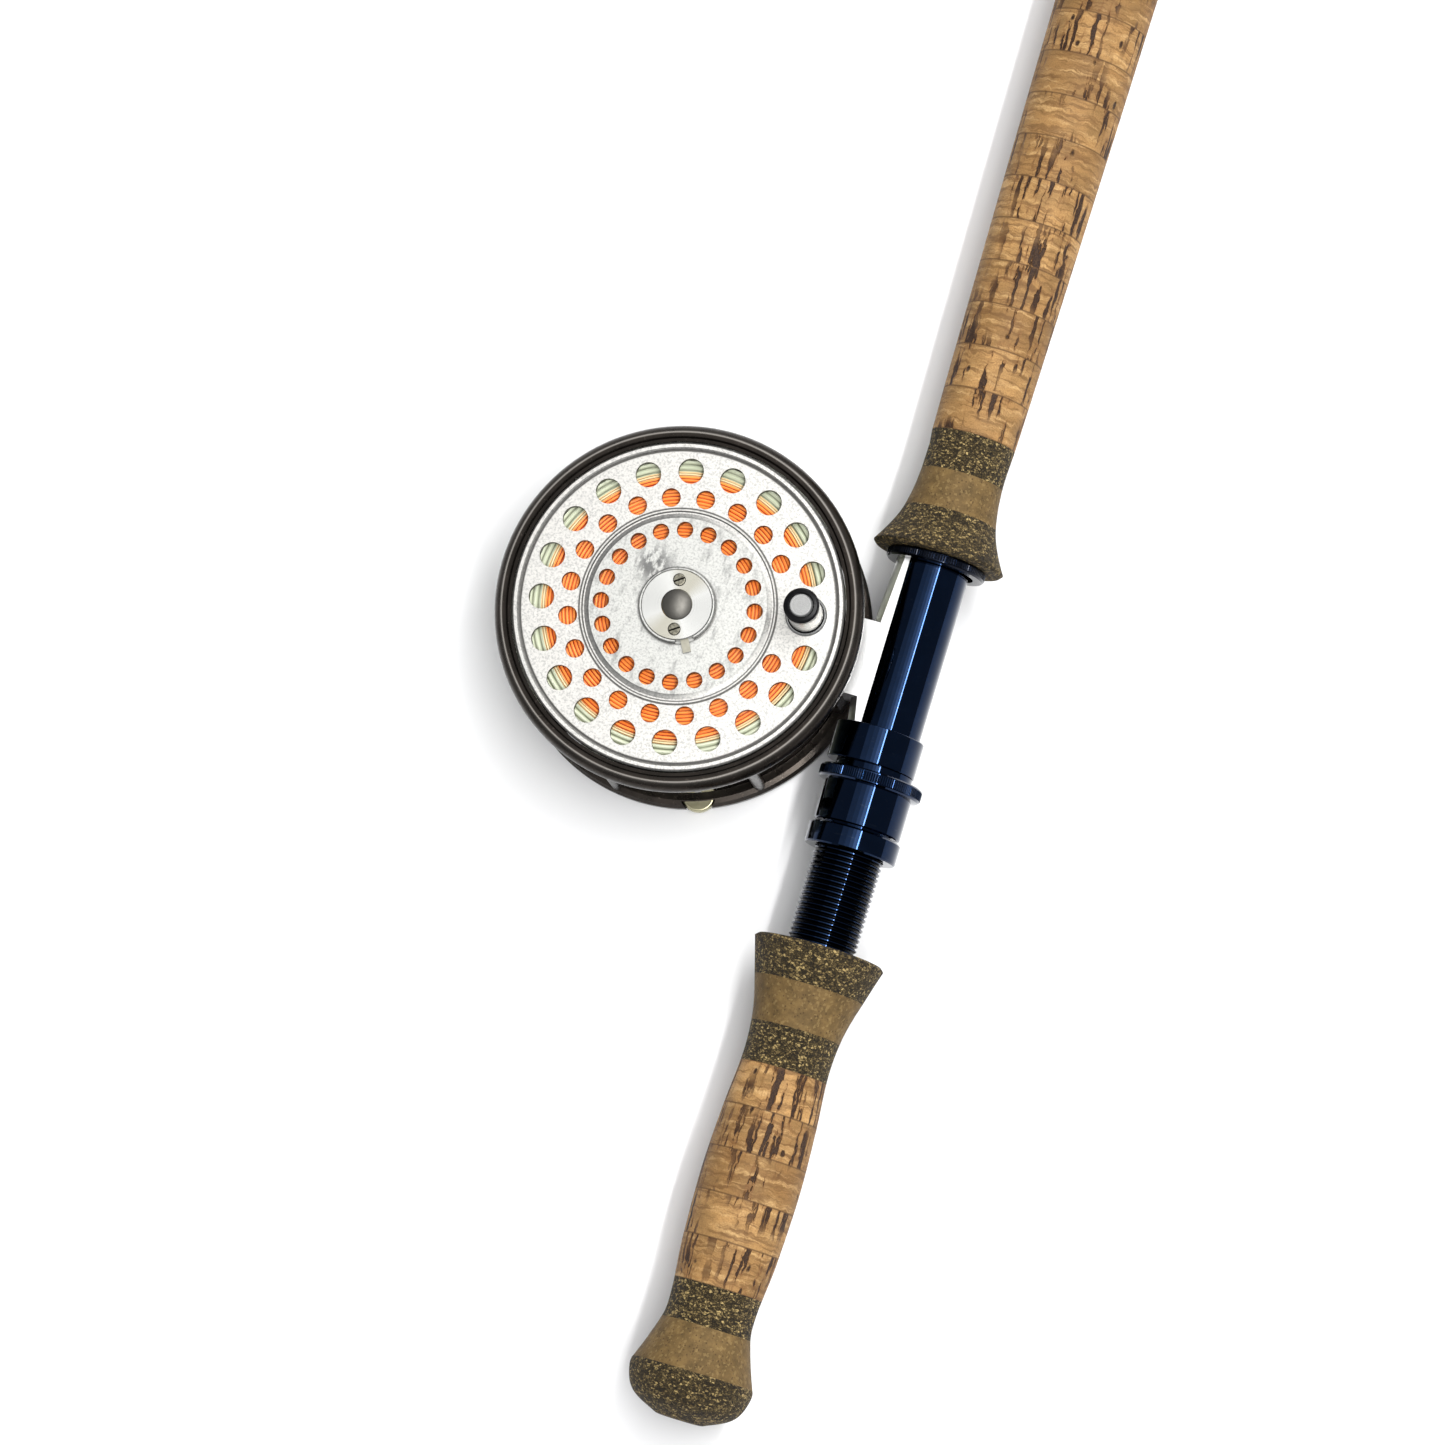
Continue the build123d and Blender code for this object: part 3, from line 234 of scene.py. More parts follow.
def burl_cork(name):
    """Composite cork of dark bark crumbs: pale, brown and black flecks under a millimetre across."""
    s = Surface(name)
    wander = s.add("TexNoise", {"Vector": s.place(), "Scale": 1100.0, "Detail": 2.0}).outputs["Color"]
    wander = s.add("VectorMath", {0: wander, 1: (0.0015, 0.0011, 0.0015)}, operation="MULTIPLY").outputs[0]
    waved = s.add("VectorMath", {0: s.place(), 1: wander}, operation="ADD").outputs[0]
    crumbs = s.cells(s.stretched((1120, 1700, 1120), vector=waved))
    shade = s.axis("X", crumbs.outputs["Color"])
    base = s.ramp(shade, [(0.0, srgb(42, 35, 21)), (0.4, srgb(80, 67, 39)), (0.7, srgb(116, 98, 62)),
                          (1.0, srgb(176, 152, 100))])
    seams = s.add("TexVoronoi", {"Vector": s.stretched((1120, 1700, 1120), vector=waved), "Scale": 1.0},
                  feature="DISTANCE_TO_EDGE").outputs["Distance"]
    base = s.mix(s.ramp(seams, [(0.02, 0.95), (0.20, 0.0)]), base, srgb(24, 19, 12))
    worms = s.noise(s.place(), 1500.0, 3.0, 0.6, 1.2)
    base = s.mix(s.ramp(worms, [(0.34, 0.9), (0.44, 0.0)]), base, srgb(22, 17, 11))
    relief = s.sum("ADD", s.ramp(seams, [(0.0, 0.0), (0.2, 1.0)]), s.sum("MULTIPLY", worms, 0.5))
    relief = s.bump(relief, 0.22 * MM)
    s.set(Base_Color=base, Roughness=0.78, Normal=relief, Specular_IOR_Level=0.25)
    return s.material


def tan_cork(name):
    """Fine composite cork: an even olive tan with soft mottling and tiny specks."""
    s = Surface(name)
    mottle = s.noise(s.place(), 300.0, 5.0, 0.65)
    base = s.ramp(mottle, [(0.3, srgb(78, 61, 31)), (0.5, srgb(98, 77, 43)), (0.72, srgb(118, 94, 54))])
    specks = s.cells(s.place(), 1500.0)
    dark = s.mix(1.0, s.ramp(specks.outputs["Distance"], [(0.25, 1.0), (0.45, 0.0)]),
                 s.ramp(s.axis("X", specks.outputs["Color"]), [(0.76, 0.0), (0.84, 0.8)]), "MULTIPLY")
    base = s.mix(dark, base, srgb(66, 48, 24))
    light = s.ramp(s.axis("Y", specks.outputs["Color"]), [(0.84, 0.0), (0.92, 0.4)])
    base = s.mix(light, base, srgb(142, 118, 74))
    relief = s.bump(s.sum("ADD", s.noise(s.place(), 1800.0, 3.0), s.sum("MULTIPLY", dark, -0.6)), 0.12 * MM)
    s.set(Base_Color=base, Roughness=0.74, Normal=relief, Specular_IOR_Level=0.3)
    return s.material


# ---------------------------------------------------------------- metals and hard surfaces
def anodised(name, colour=(0.0026, 0.0115, 0.036), rough=0.03):
    """Gloss dark blue anodising with faint worn patches and hairline scuffs, and painted shade down in the
    thread.
    """
    s = Surface(name)
    rubbed_and_highlight = s.noise(s.place(), 160.0, 5.0, 0.65)
    tone = s.mix(s.ramp(rubbed_and_highlight, [(0.45, 0.0), (0.75, 0.6)]), colour, tuple(c * 1.5 + 0.002 for c in colour))
    scuffs = s.noise(s.stretched((260, 2600, 260)), 1.0, 3.0, 0.6, 1.5)
    tone = s.mix(s.ramp(scuffs, [(0.66, 0.0), (0.72, 0.35)]), tone, (0.07, 0.09, 0.12))
    marks = s.noise(s.stretched((40, 5200, 40)), 1.0, 2.0)
    gloss = s.sum("ADD", s.sum("MULTIPLY", s.ramp(rubbed_and_highlight, [(0.35, 0.0), (0.8, 1.0)]), 0.04), rough)
    # painted shade: darker towards the root of the thread, where it is also rougher
    thread = s.ramp(s.sum("DIVIDE", s.reach(ROD_AXIS, "XZ"), SEAT_R), [(0.962, 1.0), (0.984, 0.0)])
    tone = s.mix(thread, tone, (0.0008, 0.001, 0.0016))
    s.set(Base_Color=tone, Metallic=1.0, Roughness=s.sum("MULTIPLY_ADD", thread, 0.3, gloss),
          Normal=s.bump(marks, 0.002 * MM), Coat_Roughness=0.03,
          Coat_Weight=s.sum("MULTIPLY_ADD", thread, -0.13, 0.16))
    return s.material


def wall_shade(s):
    """1 on faces that stand upright and 0 on faces that lie level: painted shade goes on the walls."""
    up = s.axis("Z", s.add("TexCoord").outputs["Normal"])
    return s.ramp(s.sum("ABSOLUTE", up), [(0.45, 1.0), (0.8, 0.0)])


def turned_metal(name, colour, rough=0.3, centre=None, grime_and_shade=0.0, ring_scale=5200.0, bump=0.012):
    """Lathe-turned metal: fine rings about the spindle, a slight mottle and specks of dirt."""
    s = Surface(name)
    out = s.reach(SPINDLE if centre is None else centre, "XY")
    lines = s.add("TexNoise", {"W": s.sum("MULTIPLY", out, ring_scale), "Scale": 1.0, "Detail": 2.0},
                  noise_dimensions="1D").outputs["Fac"]
    cloud = s.noise(s.place(), 260.0, 5.0, 0.65)
    speck = s.noise(s.place(), 1900.0, 2.0, 0.6)
    tone = s.mix(s.ramp(cloud, [(0.40, 0.0), (0.75, 0.5)]), colour, tuple(c * 0.86 for c in colour))
    tone = s.mix(s.ramp(speck, [(0.60, 0.0), (0.72, grime_and_shade)]), tone, tuple(c * 0.45 for c in colour))
    gloss = s.sum("ADD", s.sum("MULTIPLY", lines, 0.12), s.sum("MULTIPLY_ADD", cloud, 0.16, rough - 0.08))
    relief = s.bump(s.sum("ADD", lines, s.sum("MULTIPLY", speck, 0.5)), bump * MM)
    s.set(Base_Color=tone, Metallic=1.0, Roughness=gloss, Normal=relief)
    return s.material


def spool_face_metal():
    """Bright satin spool face, with a greyer worn disc, and painted shade in the grooves and on the hole
    walls.
    """
    s = Surface("spool_face_aluminium")
    out = s.reach(SPINDLE, "XY")
    lines = s.add("TexNoise", {"W": s.sum("MULTIPLY", out, 5200.0), "Scale": 1.0, "Detail": 2.0},
                  noise_dimensions="1D").outputs["Fac"]
    cloud = s.noise(s.place(), 300.0, 5.0, 0.65)
    grit = s.noise(s.place(), 1500.0, 3.0, 0.7)
    share = s.sum("DIVIDE", out, FACE_REACH)
    disc = s.ramp(share, [(0.50, 1.0), (0.53, 0.0)])
    tone = s.mix(disc, (0.665, 0.65, 0.615), (0.585, 0.585, 0.555))
    tone = s.mix(s.ramp(cloud, [(0.42, 0.0), (0.70, 0.35)]), tone, (0.46, 0.452, 0.43))
    tone = s.mix(s.ramp(grit, [(0.48, 0.0), (0.62, 0.6)]), tone, (0.30, 0.30, 0.29))
    smear = s.noise(s.stretched((420, 150, 110), (0.4, 0.1, 0)), 1.0, 4.0, 0.7)
    corner = s.reach(SCUFF, "XY")
    near = s.ramp(s.sum("DIVIDE", corner, SCUFF_REACH), [(0.25, 1.0), (0.75, 0.0)])
    scuff = s.mix(1.0, s.ramp(smear, [(0.43, 0.0), (0.52, 0.9)]), near, "MULTIPLY")
    faint = s.mix(1.0, s.ramp(smear, [(0.52, 0.0), (0.68, 0.5)]), disc, "MULTIPLY")
    scuff = s.mix(1.0, scuff, faint, "LIGHTEN")
    tone = s.mix(scuff, tone, (0.13, 0.13, 0.127))
    # painted shade: dark lines in the grooves and steps, and on the upright hole walls
    grime_and_shade = s.ramp(share, GROOVE_SHADE)
    grime_and_shade = s.mix(1.0, grime_and_shade, wall_shade(s), "LIGHTEN")
    tone = s.mix(s.sum("MULTIPLY", grime_and_shade, 0.9), tone, (0.045, 0.043, 0.04))
    gloss = s.sum("ADD", s.sum("MULTIPLY", lines, 0.10), s.sum("MULTIPLY_ADD", cloud, 0.2, 0.27))
    relief = s.bump(s.sum("ADD", lines, s.sum("MULTIPLY", grit, 0.8)), 0.016 * MM)
    s.set(Base_Color=tone, Metallic=1.0, Roughness=gloss, Normal=relief)
    return s.material


def screw_places(node, radius):
    """Axes of the two screws at the ends of a node's box."""
    low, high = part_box(node)
    return Vector((low.x + radius, high.y - radius, 0)), Vector((high.x - radius, low.y + radius, 0))


def fanned_metal(name, colour, rough=0.2):
    """Polished lathe-turned cap: fine rings that fan the light out, painted dark fans of reflection, and
    painted shade round the screw heads and on the walls.
    """
    s = Surface(name)
    out = s.reach(SPINDLE, "XY")
    lines = s.add("TexNoise", {"W": s.sum("MULTIPLY", out, 2600.0), "Scale": 1.0, "Detail": 2.0},
                  noise_dimensions="1D").outputs["Fac"]
    speck = s.noise(s.place(), 1700.0, 3.0, 0.6)
    tone = s.mix(s.ramp(speck, [(0.56, 0.0), (0.68, 0.1)]), colour, tuple(c * 0.5 for c in colour))
    # painted reflection: two dark fans across the cap, set by the angle round the spindle
    lean = s.sum("ARCTAN2", s.axis("Y"), s.axis("X"))
    fan = s.sum("MULTIPLY_ADD", s.sum("COSINE", s.sum("MULTIPLY_ADD", lean, 2.0, 0.35)), -0.5, 0.5)
    tone = s.mix(s.ramp(fan, [(0.55, 0.0), (0.97, 0.75)]), tone, tuple(c * 0.5 for c in srgb(236, 230, 206)))
    # painted shade: a dark ring on the cap round each screw head
    for place in screw_places("cap_screws", CAP_SCREW_R):
        screw_shade = s.ramp(s.sum("DIVIDE", s.reach(place, "XY"), CAP_SCREW_R), [(0.9, 1.0), (1.1, 0.9), (1.3, 0.0)])
        tone = s.mix(screw_shade, tone, (0.03, 0.03, 0.027))
    # painted shade on the cap's upright walls
    tone = s.mix(s.sum("MULTIPLY", wall_shade(s), 0.8), tone, (0.05, 0.05, 0.048))
    s.set(Base_Color=tone, Metallic=1.0, Roughness=rough, Anisotropic=0.8, Normal=s.bump(lines, 0.006 * MM),
          Tangent=s.add("Tangent", direction_type="RADIAL", axis="Z").outputs[0])
    return s.material


def slotted_screw(name, colour, node):
    """Worn screw heads: bright on top, with painted shade in the slots and down the sides."""
    s = Surface(name)
    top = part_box(node)[1].z
    # painted shade: darker with depth below the head's top, in the slots
    deep = s.ramp(s.sum("DIVIDE", s.sum("SUBTRACT", top, s.axis("Z")), 0.3 * MM), [(0.1, 0.0), (0.4, 1.0)])
    wear = s.noise(s.place(), 1500.0, 4.0, 0.7)
    tone = s.mix(s.ramp(wear, [(0.45, 0.0), (0.6, 0.8)]), colour, tuple(c * 0.3 for c in colour))
    tone = s.mix(s.mix(1.0, deep, wall_shade(s), "LIGHTEN"), tone, (0.012, 0.011, 0.009))
    s.set(Base_Color=tone, Metallic=1.0, Roughness=0.32, Normal=s.bump(wear, 0.02 * MM))
    return s.material


def edged_metal(name, colour):
    """Small bright lever: painted shade along its sides, so that its outline shows."""
    s = Surface(name)
    cloud = s.noise(s.place(), 900.0, 3.0)
    tone = s.mix(s.ramp(cloud, [(0.35, 0.0), (0.75, 0.5)]), colour, tuple(c * 0.7 for c in colour))
    # painted shade on the lever's upright sides
    tone = s.mix(wall_shade(s), tone, (0.02, 0.02, 0.018))
    s.set(Base_Color=tone, Metallic=1.0, Roughness=0.3, Normal=s.bump(cloud, 0.01 * MM))
    return s.material


def gunmetal(name="frame_gunmetal"):
    """Satin gunmetal finish: hairline marks, a little brassing, painted shade on the front ring's inner part,
    and a painted highlight line round the front.
    """
    s = Surface(name)
    cloud = s.noise(s.place(), 140.0, 5.0, 0.6)
    tone = s.mix(s.ramp(cloud, [(0.35, 0.0), (0.75, 1.0)]), srgb(39, 35, 31), srgb(56, 50, 45))
    scratches = s.noise(s.stretched((700, 700, 4200)), 1.0, 2.0, 0.6)
    tone = s.mix(s.ramp(scratches, [(0.66, 0.0), (0.74, 0.4)]), tone, srgb(110, 100, 92))
    speck = s.noise(s.place(), 1900.0, 2.0, 0.6)
    tone = s.mix(s.ramp(speck, [(0.68, 0.0), (0.74, 0.5)]), tone, srgb(128, 118, 108))
    share = s.sum("DIVIDE", s.reach(SPINDLE, "XY"), FRAME_REACH)
    front = s.ramp(s.sum("DIVIDE", s.axis("Z"), FRAME_DEPTH), [(0.76, 0.0), (0.80, 1.0)])
    # painted shade on the inner part of the front ring, towards the spool
    inner = s.mix(1.0, s.ramp(share, [(0.818, 0.55), (0.832, 0.0)]), front, "MULTIPLY")
    tone = s.mix(inner, tone, srgb(22, 19, 16))
    # painted highlight: a bright line round the front ring's bead
    rubbed_and_highlight = s.ramp(share, [(0.8325, 0.0), (0.8375, 0.62), (0.8400, 0.62), (0.845, 0.08), (0.860, 0.0)])
    tone = s.mix(s.mix(1.0, rubbed_and_highlight, front, "MULTIPLY"), tone, srgb(190, 184, 176))
    gloss = s.sum("MULTIPLY_ADD", cloud, 0.16, 0.20)
    s.set(Base_Color=tone, Metallic=0.85, Roughness=gloss, Normal=s.bump(scratches, 0.008 * MM))
    return s.material


def plain_metal(name, colour, rough=0.25, fleck=900.0, bump=0.01):
    """Cast or drawn metal with a fine uneven surface."""
    s = Surface(name)
    cloud = s.noise(s.place(), fleck * 0.3, 4.0, 0.6)
    grain = s.noise(s.place(), fleck * 2, 2.0, 0.6)
    tone = s.mix(s.ramp(cloud, [(0.35, 0.0), (0.75, 0.6)]), colour, tuple(c * 0.72 for c in colour))
    s.set(Base_Color=tone, Metallic=1.0, Roughness=s.sum("MULTIPLY_ADD", cloud, 0.18, rough - 0.05),
          Normal=s.bump(grain, bump * MM))
    return s.material


def coated_line(name, colour, shade, gap_shade, inner, pitch):
    """Plastic-coated fly line: tone drifts from turn to turn, with painted shade down between the turns."""
    s = Surface(name)
    out = s.reach(SPINDLE, "XY")
    drift = s.add("TexNoise", {"W": s.sum("MULTIPLY", out, 950.0), "Scale": 1.0, "Detail": 1.0},
                  noise_dimensions="1D").outputs["Fac"]
    soft = s.noise(s.place(), 220.0, 3.0)
    tone = s.mix(s.ramp(drift, [(0.40, 0.0), (0.62, 1.0)]), colour, shade)
    tone = s.mix(s.ramp(soft, [(0.5, 0.0), (0.8, 0.4)]), tone, shade)
    lean = s.sum("ARCTAN2", s.axis("Y"), s.axis("X"))
    outward = s.sum("DIVIDE", s.sum("SUBTRACT", out, inner), pitch)
    lap = s.sum("SUBTRACT", outward, s.sum("DIVIDE", lean, 2 * math.pi))
    between = s.sum("PINGPONG", lap, 0.5)
    depth = s.ramp(s.noise(s.place(), 90.0, 2.0), [(0.35, 0.7), (0.6, 1.0)])
    # painted shade in the creases between neighbouring turns
    seam_shade = s.mix(1.0, s.ramp(between, [(0.08, 1.0), (0.20, 0.0)]), depth, "MULTIPLY")
    tone = s.mix(seam_shade, tone, gap_shade)
    s.set(Base_Color=tone, Roughness=0.34, Normal=s.bump(s.noise(s.place(), 3000.0, 2.0), 0.01 * MM))
    return s.material


def black_plastic(name):
    """Polished black handle fitting with faint dust and rub marks."""
    s = Surface(name)
    dust = s.noise(s.place(), 1300.0, 4.0, 0.7)
    tone = s.mix(s.ramp(dust, [(0.58, 0.0), (0.75, 0.5)]), (0.004, 0.004, 0.0045), (0.02, 0.02, 0.02))
    s.set(Base_Color=tone, Roughness=s.sum("MULTIPLY_ADD", dust, 0.16, 0.14), Specular_IOR_Level=0.10)
    return s.material


def graphite(name="graphite_blank"):
    """Dark blank under clear varnish: the spiral of the wrapped carbon shows faintly."""
    s = Surface(name)
    weave = s.noise(s.stretched((900, 60, 900)), 1.0, 3.0, 0.6, 0.6)
    tone = s.mix(s.ramp(weave, [(0.35, 0.0), (0.7, 1.0)]), srgb(20, 24, 36), srgb(36, 44, 62))
    bands = s.noise(s.stretched((0, 2400, 0)), 1.0, 1.0)
    s.set(Base_Color=tone, Roughness=0.28, Normal=s.bump(bands, 0.012 * MM), Coat_Weight=1.0,
          Coat_Roughness=0.04)
    return s.material


def whipping(name="thread_whipping"):
    """Close turns of fine thread under clear epoxy."""
    s = Surface(name)
    turns = s.sum("SINE", s.sum("MULTIPLY", s.axis("Y"), 2 * math.pi / (0.16 * MM)))
    # painted shade between the thread's turns and painted highlight on their crests
    tone = s.mix(s.sum("MULTIPLY_ADD", turns, 0.5, 0.5), srgb(14, 20, 40), srgb(30, 48, 88))
    s.set(Base_Color=tone, Roughness=0.5, Normal=s.bump(turns, 0.02 * MM, 0.5), Coat_Weight=1.0,
          Coat_Roughness=0.03)
    return s.material


def ceramic(name="guide_ceramic"):
    s = Surface(name)
    cloud = s.noise(s.place(), 800.0, 2.0)
    s.set(Base_Color=s.mix(cloud, (0.02, 0.02, 0.024), (0.05, 0.05, 0.055)), Roughness=0.08,
          Normal=s.bump(cloud, 0.004 * MM))
    return s.material


def table_top():
    """Plain pale work surface."""
    s = Surface("pale_floor")
    cloud = s.noise(s.place(), 3.0, 3.0)
    s.set(Base_Color=s.mix(cloud, (0.86, 0.86, 0.865), (0.89, 0.89, 0.89)), Roughness=0.55,
          Specular_IOR_Level=0.25)
    return s.material


def dress(material, *nodes):
    """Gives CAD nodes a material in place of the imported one."""
    for node in nodes:
        slots = NODES[node].data.materials
        for n in range(len(slots)):
            slots[n] = material


ALL = sorted(NODES)
BURL, TAN = burl_cork("burl_cork"), tan_cork("tan_cork")
BLUE = anodised("blue_anodised")
STEEL = plain_metal("bright_steel", (0.60, 0.60, 0.59), 0.24)
CHROME = plain_metal("guide_chrome", (0.62, 0.62, 0.64), 0.10)
SPOOL_METAL = turned_metal("spool_aluminium", (0.80, 0.80, 0.79), 0.34, grime_and_shade=0.2)
dress(BURL, "lower_grip_flare", "lower_grip_burl_rings", "lower_grip_butt", "fore_grip_flare",
      "fore_grip_burl_rings")
dress(TAN, "lower_grip_tan_rings", "fore_grip_tan_rings", "fore_grip_tip_ring")
dress(natural_cork("lower_natural_cork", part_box("lower_grip_cork_rings")[0].y), "lower_grip_cork_rings")
dress(natural_cork("fore_natural_cork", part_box("fore_grip_cork_rings")[0].y), "fore_grip_cork_rings")
dress(BLUE, "reel_seat_barrel", "sliding_hood", "lock_nut", "jam_nut", "winding_check")
COLLAR = anodised("collar_anodised", (0.002, 0.004, 0.010), 0.2)
dress(COLLAR, "fixed_hood")
dress(gunmetal(), "reel_frame")
dress(plain_metal("foot_aluminium", (0.86, 0.86, 0.85), 0.30, 700.0, 0.014), "reel_foot")
dress(spool_face_metal(), "spool_face")
dress(SPOOL_METAL, "spool_drum", "spool_back")
dress(STEEL, "foot_screws", "ratchet_screws", "check_posts", "drag_axle", "check_pawl", "ratchet_wheel",
      "check_spring", "latch_spring")
dress(slotted_screw("cap_screw_steel", (0.27, 0.255, 0.20), "cap_screws"), "cap_screws")
dress(edged_metal("lever_metal", (0.46, 0.44, 0.36)), "latch_lever")
dress(fanned_metal("cap_metal", (0.74, 0.74, 0.71), 0.22), "latch_cap")
dress(plain_metal("spindle_steel", (0.17, 0.163, 0.147), 0.46, 1500.0, 0.03), "spindle")
dress(turned_metal("handle_metal", (0.42, 0.42, 0.41), 0.20, HANDLE),
      "handle_pin", "handle_knob", "handle_flange")
dress(black_plastic("handle_black"), "handle_rings")
dress(plain_metal("worn_nickel", srgb(196, 190, 158), 0.28, 600.0), "drag_wheel")
dress(plain_metal("bush_bronze", (0.62, 0.45, 0.22), 0.3), "spool_bush")
dress(plain_metal("arbor_foam", (0.55, 0.55, 0.53), 0.9), "reel_seat_arbors")
dress(graphite(), *[node for node in ALL if node.endswith("_blank")])
dress(whipping(), *[node for node in ALL if node.endswith("_thread_wraps")])
dress(CHROME, "tip_top", *[node for node in ALL if "snake_guides" in node or "guide_frame" in node])
dress(ceramic(), *[node for node in ALL if "guide_ring" in node])


# ---------------------------------------------------------------- mesh pieces
def mesh_object(name, bm, material, smooth=True):
    mesh = bpy.data.meshes.new(name)
    bmesh.ops.recalc_face_normals(bm, faces=bm.faces)
    bm.to_mesh(mesh)
    bm.free()
    for polygon in mesh.polygons:
        polygon.use_smooth = smooth
    mesh.materials.append(material)
    made = bpy.data.objects.new(name, mesh)
    bpy.context.scene.collection.objects.link(made)
    return made


def skin(bm, rings):
    """Quads between each closed ring of points and the next."""
    for first, second in zip(rings, rings[1:]):
        count = len(first)
        for k in range(count):
            bm.faces.new((first[k], first[(k + 1) % count], second[(k + 1) % count], second[k]))


def wound_line(node, body, inner, turn, *colours):
    """Line wound on the spool: a closed coil whose top, bottom and outside show each turn."""
    low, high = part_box(node)
    outer = half_width(node)
    rows = max(1, round((outer - inner) / turn))
    pitch = (outer - inner) / rows
    material = coated_line("line_" + node, *colours, inner, pitch)
    around, steps = 240, rows * 8
    layers = max(1, round((high.z - low.z) / turn))
    deep = (high.z - low.z) / layers
    profile = []
    for n in range(steps + 1):
        share = n / steps
        profile.append(("top", inner + (outer - inner) * share, high.z))
    for n in range(1, layers * 6):
        profile.append(("side", outer, high.z - (high.z - low.z) * n / (layers * 6)))
    for n in range(steps + 1):
        share = 1 - n / steps
        profile.append(("bottom", inner + (outer - inner) * share, low.z))
    bm = bmesh.new()
    rings = []
    random.seed(node)
    sag = [random.uniform(0.0, 0.35) for _ in range(rows + 2)]
    for kind, radius, height in profile:
        ring = []
        for k in range(around):
            angle = 2 * math.pi * k / around
            r, z = radius, height
            if kind == "side":
                phase = (high.z - z) / deep + k / around
                r -= 0.5 * turn * (1 - abs(math.sin(math.pi * phase)))
            else:
                phase = (radius - inner) / pitch - k / around
                number = min(rows + 1, max(0, math.floor(phase) + 1))
                dip = turn * (0.42 * (1 - abs(math.sin(math.pi * phase))) + 0.3 * sag[number])
                z += -dip if kind == "top" else dip
            ring.append(bm.verts.new((r * math.cos(angle), r * math.sin(angle), z)))
        rings.append(ring)
    rings.append(rings[0])
    skin(bm, rings)
    coil = mesh_object(node + "_turns", bm, material)
    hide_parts(node)
    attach(coil, body)


# node, inner radius, thickness of one turn, colour, shade, colour of the painted shade between the turns
LINES = (
    ("backing", 13.0 * MM, 0.6 * MM, srgb(236, 232, 214), srgb(206, 200, 180), srgb(120, 116, 100)),
    ("running_line", 18.5 * MM, 1.0 * MM, srgb(255, 154, 70), srgb(255, 130, 46), srgb(138, 12, 2)),
    ("head_line_cream", 38.0 * MM, 0.65 * MM, srgb(228, 212, 168), srgb(216, 184, 132), srgb(130, 84, 44)),
    ("head_line_green", 39.3 * MM, 1.6 * MM, srgb(212, 216, 192), srgb(186, 192, 164), srgb(100, 104, 80)))
for line_node, *facts in LINES:
    wound_line(line_node, "spool", *facts)


def toothed_ring(name, body, slot, material, axis, centre, start, end, radius, depth, teeth):
    """A knurled or reeded band: straight ridges round a cylinder, on the rod's axis (Y) or the reel's (Z)."""
    bm = bmesh.new()
    per_tooth = 6
    count = teeth * per_tooth
    bevel = min(0.25 * MM, (end - start) / 5)
    stations = [(start, depth * 1.8), (start + bevel, 0.0), (end - bevel, 0.0), (end, depth * 1.8)]
    rings = []
    for place, lowered in stations:
        ring = []
        for k in range(count):
            angle = 2 * math.pi * k / count
            ridge = abs(math.sin(math.pi * k / per_tooth))
            r = radius - depth * (1 - ridge) - lowered
            first, second = r * math.cos(angle), r * math.sin(angle)
            point = (centre.x + first, place, centre.z + second) if axis == "Y" else \
                (centre.x + first, centre.y + second, place)
            ring.append(bm.verts.new(point))
        rings.append(ring)
    skin(bm, rings)
    band = mesh_object(name, bm, material, smooth=False)
    thick = band.modifiers.new("wall", "SOLIDIFY")
    thick.thickness = depth * 1.5
    thick.offset = -1
    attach(band, body)


toothed_ring("lock_nut_knurl", "lock_nuts", "lock_nut", BLUE, "Y", ROD_AXIS, *NUT_KNURL,
             half_width("lock_nut") + 0.14 * MM, 0.28 * MM, NUT_TEETH)
toothed_ring("collar_reeding", "butt_section", "fixed_hood", COLLAR, "Y", ROD_AXIS, *COLLAR_REEDING,
             half_width("fixed_hood") + 0.12 * MM, 0.22 * MM, COLLAR_TEETH)
wheel_low, wheel_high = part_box("drag_wheel")
toothed_ring("drag_wheel_milling", "drag_adjuster", "drag_wheel", NODES["drag_wheel"].data.materials[0], "Z",
             centre_of("drag_wheel"), wheel_low.z + WHEEL_INSET, wheel_high.z - WHEEL_INSET,
             half_width("drag_wheel") + 0.08 * MM, 0.16 * MM, WHEEL_TEETH)


# ---------------------------------------------------------------- floor, light and camera
bpy.ops.mesh.primitive_plane_add(size=16.0, location=(0, 1.6, -0.0002))
floor = bpy.context.object
floor.name = "floor"
floor.data.materials.append(table_top())

AIM = Vector((0.06, 1.8, 0.02))
# studio lights as (first angle, last angle, brightness), growing brighter towards +X and ending sharply
LIGHTS = ((-26, -11, 0.66), (-11, 1, 1.0), (1, 10, 2.0), (10, 18, 4.2), (19.4, 22.4, 50.0))
WORLD_COLOUR, WORLD_STRENGTH = (0.96, 0.97, 1.0, 1.0), 0.32
LENS_MM, SENSOR_MM = 145.8, 36.0
CAMERA_PLACE = (0.26525, -0.24346, 1.65146)
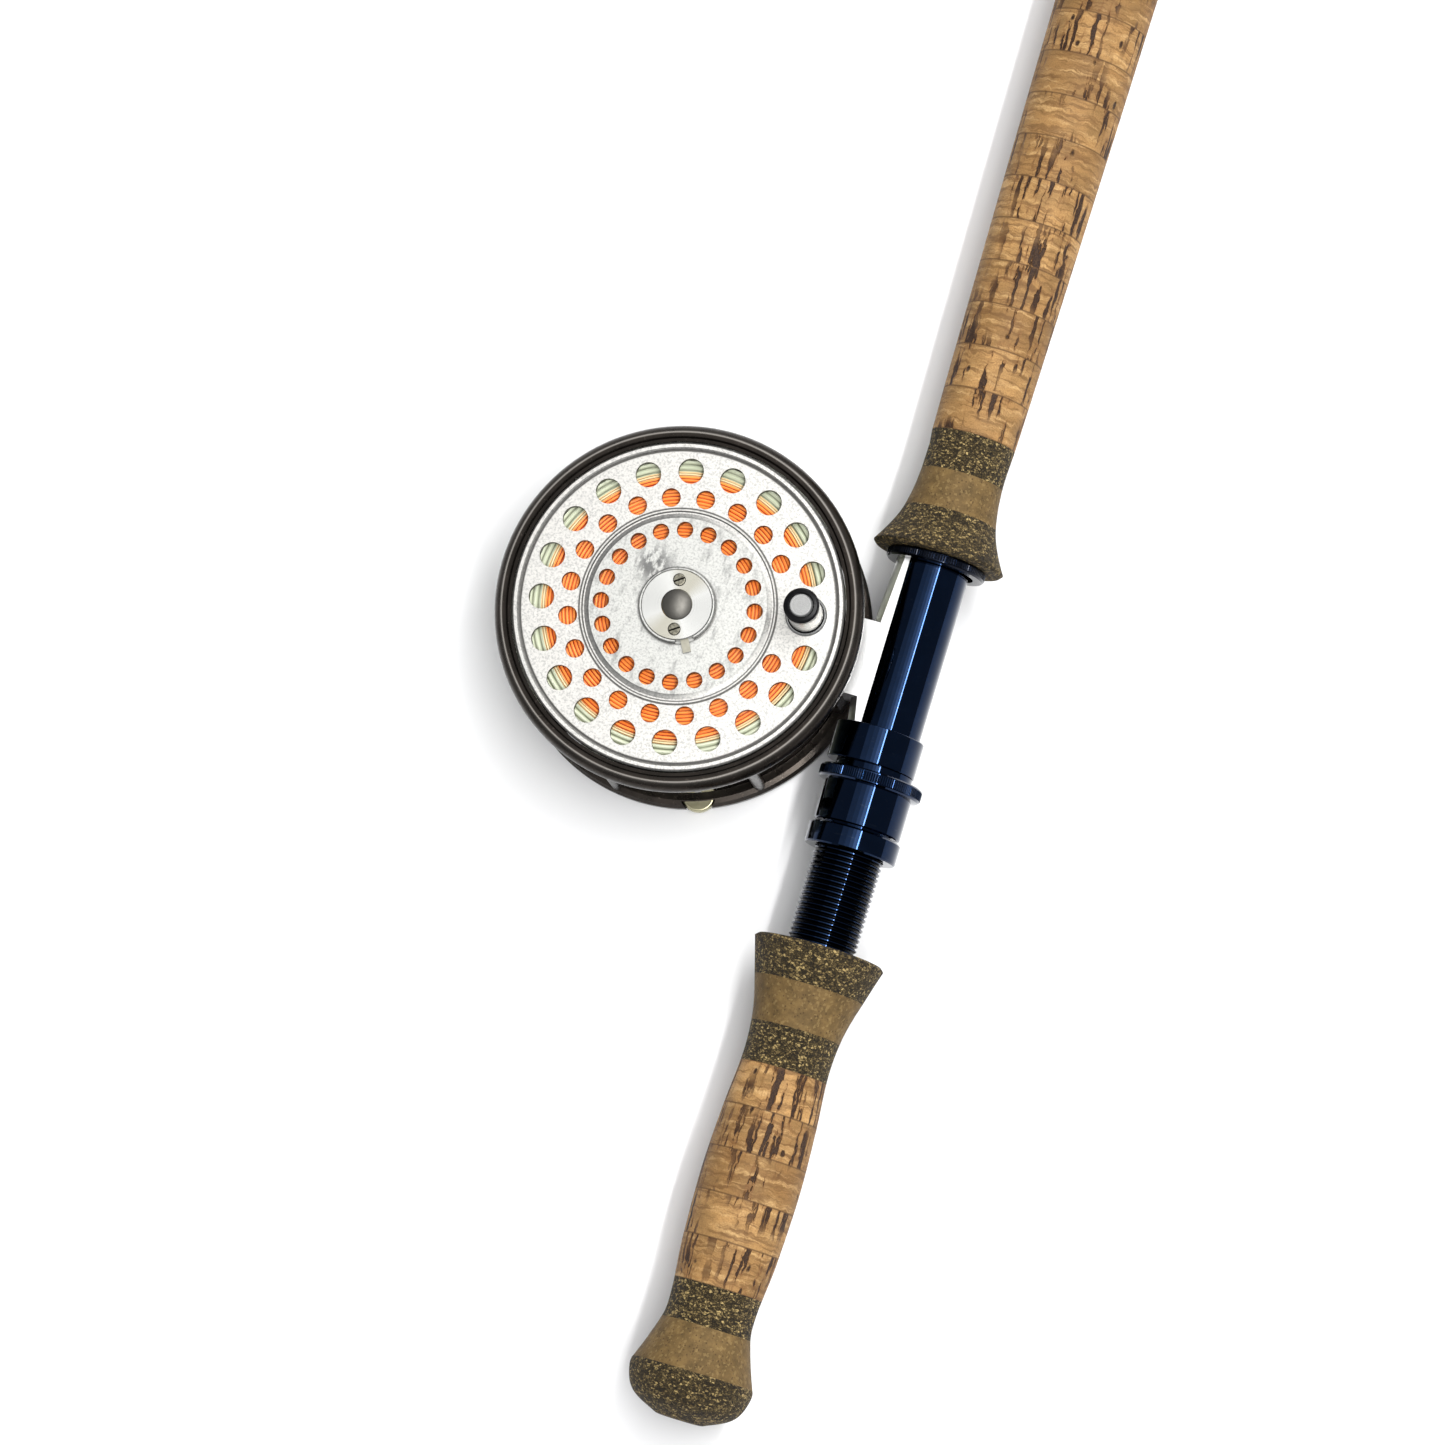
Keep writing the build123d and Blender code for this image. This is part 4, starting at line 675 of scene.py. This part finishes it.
# the camera's right, up and back directions
CAMERA_AXES = ((0.95146, 0.28924, -0.10519), (-0.26976, 0.94826, 0.16745), (0.14818, -0.13095, 0.98025))


def softbox(name, place, size, power, colour=(1, 1, 1)):
    light = bpy.data.lights.new(name, "AREA")
    light.shape = "RECTANGLE"
    light.size, light.size_y = size
    light.energy = power
    light.color = colour
    made = bpy.data.objects.new(name, light)
    made.location = place
    made.rotation_mode = "QUATERNION"
    made.rotation_quaternion = (AIM - Vector(place)).to_track_quat("-Z", "Y")
    made.visible_camera = False
    bpy.context.scene.collection.objects.link(made)


def long_light(name, first, last, radiance, reach=1.7, length=2.8):
    """A strip of light parallel to the rod, between two angles from straight above it towards +X."""
    middle = math.radians((first + last) / 2)
    width = 2 * reach * math.tan(math.radians(last - first) / 2)
    place = (ROD_AXIS.x + reach * math.sin(middle), 0.3, ROD_AXIS.z + reach * math.cos(middle))
    light = bpy.data.lights.new(name, "AREA")
    light.shape = "RECTANGLE"
    light.size, light.size_y = width, length
    light.energy = radiance * width * length * math.pi
    made = bpy.data.objects.new(name, light)
    made.location = place
    made.rotation_euler = (0, middle, 0)
    made.visible_camera = False
    bpy.context.scene.collection.objects.link(made)


for number, (first, last, radiance) in enumerate(LIGHTS):
    long_light("studio_light_%d" % number, first, last, radiance)
softbox("far_tip_light", (0.2, 3.2, 2.6), (2.0, 1.6), 30.0)

world = bpy.data.worlds.new("studio")
world.use_nodes = True
background = world.node_tree.nodes["Background"]
background.inputs["Color"].default_value = WORLD_COLOUR
background.inputs["Strength"].default_value = WORLD_STRENGTH
bpy.context.scene.world = world

camera_data = bpy.data.cameras.new("photo_camera")
camera_data.sensor_width = SENSOR_MM
camera_data.lens = LENS_MM
camera_data.clip_start = 0.05
camera_data.clip_end = 50.0
camera = bpy.data.objects.new("photo_camera", camera_data)
camera.matrix_world = Matrix.Translation(CAMERA_PLACE) @ Matrix(CAMERA_AXES).transposed().to_4x4()
bpy.context.scene.collection.objects.link(camera)
bpy.context.scene.camera = camera
bpy.context.scene.view_settings.view_transform = "Standard"
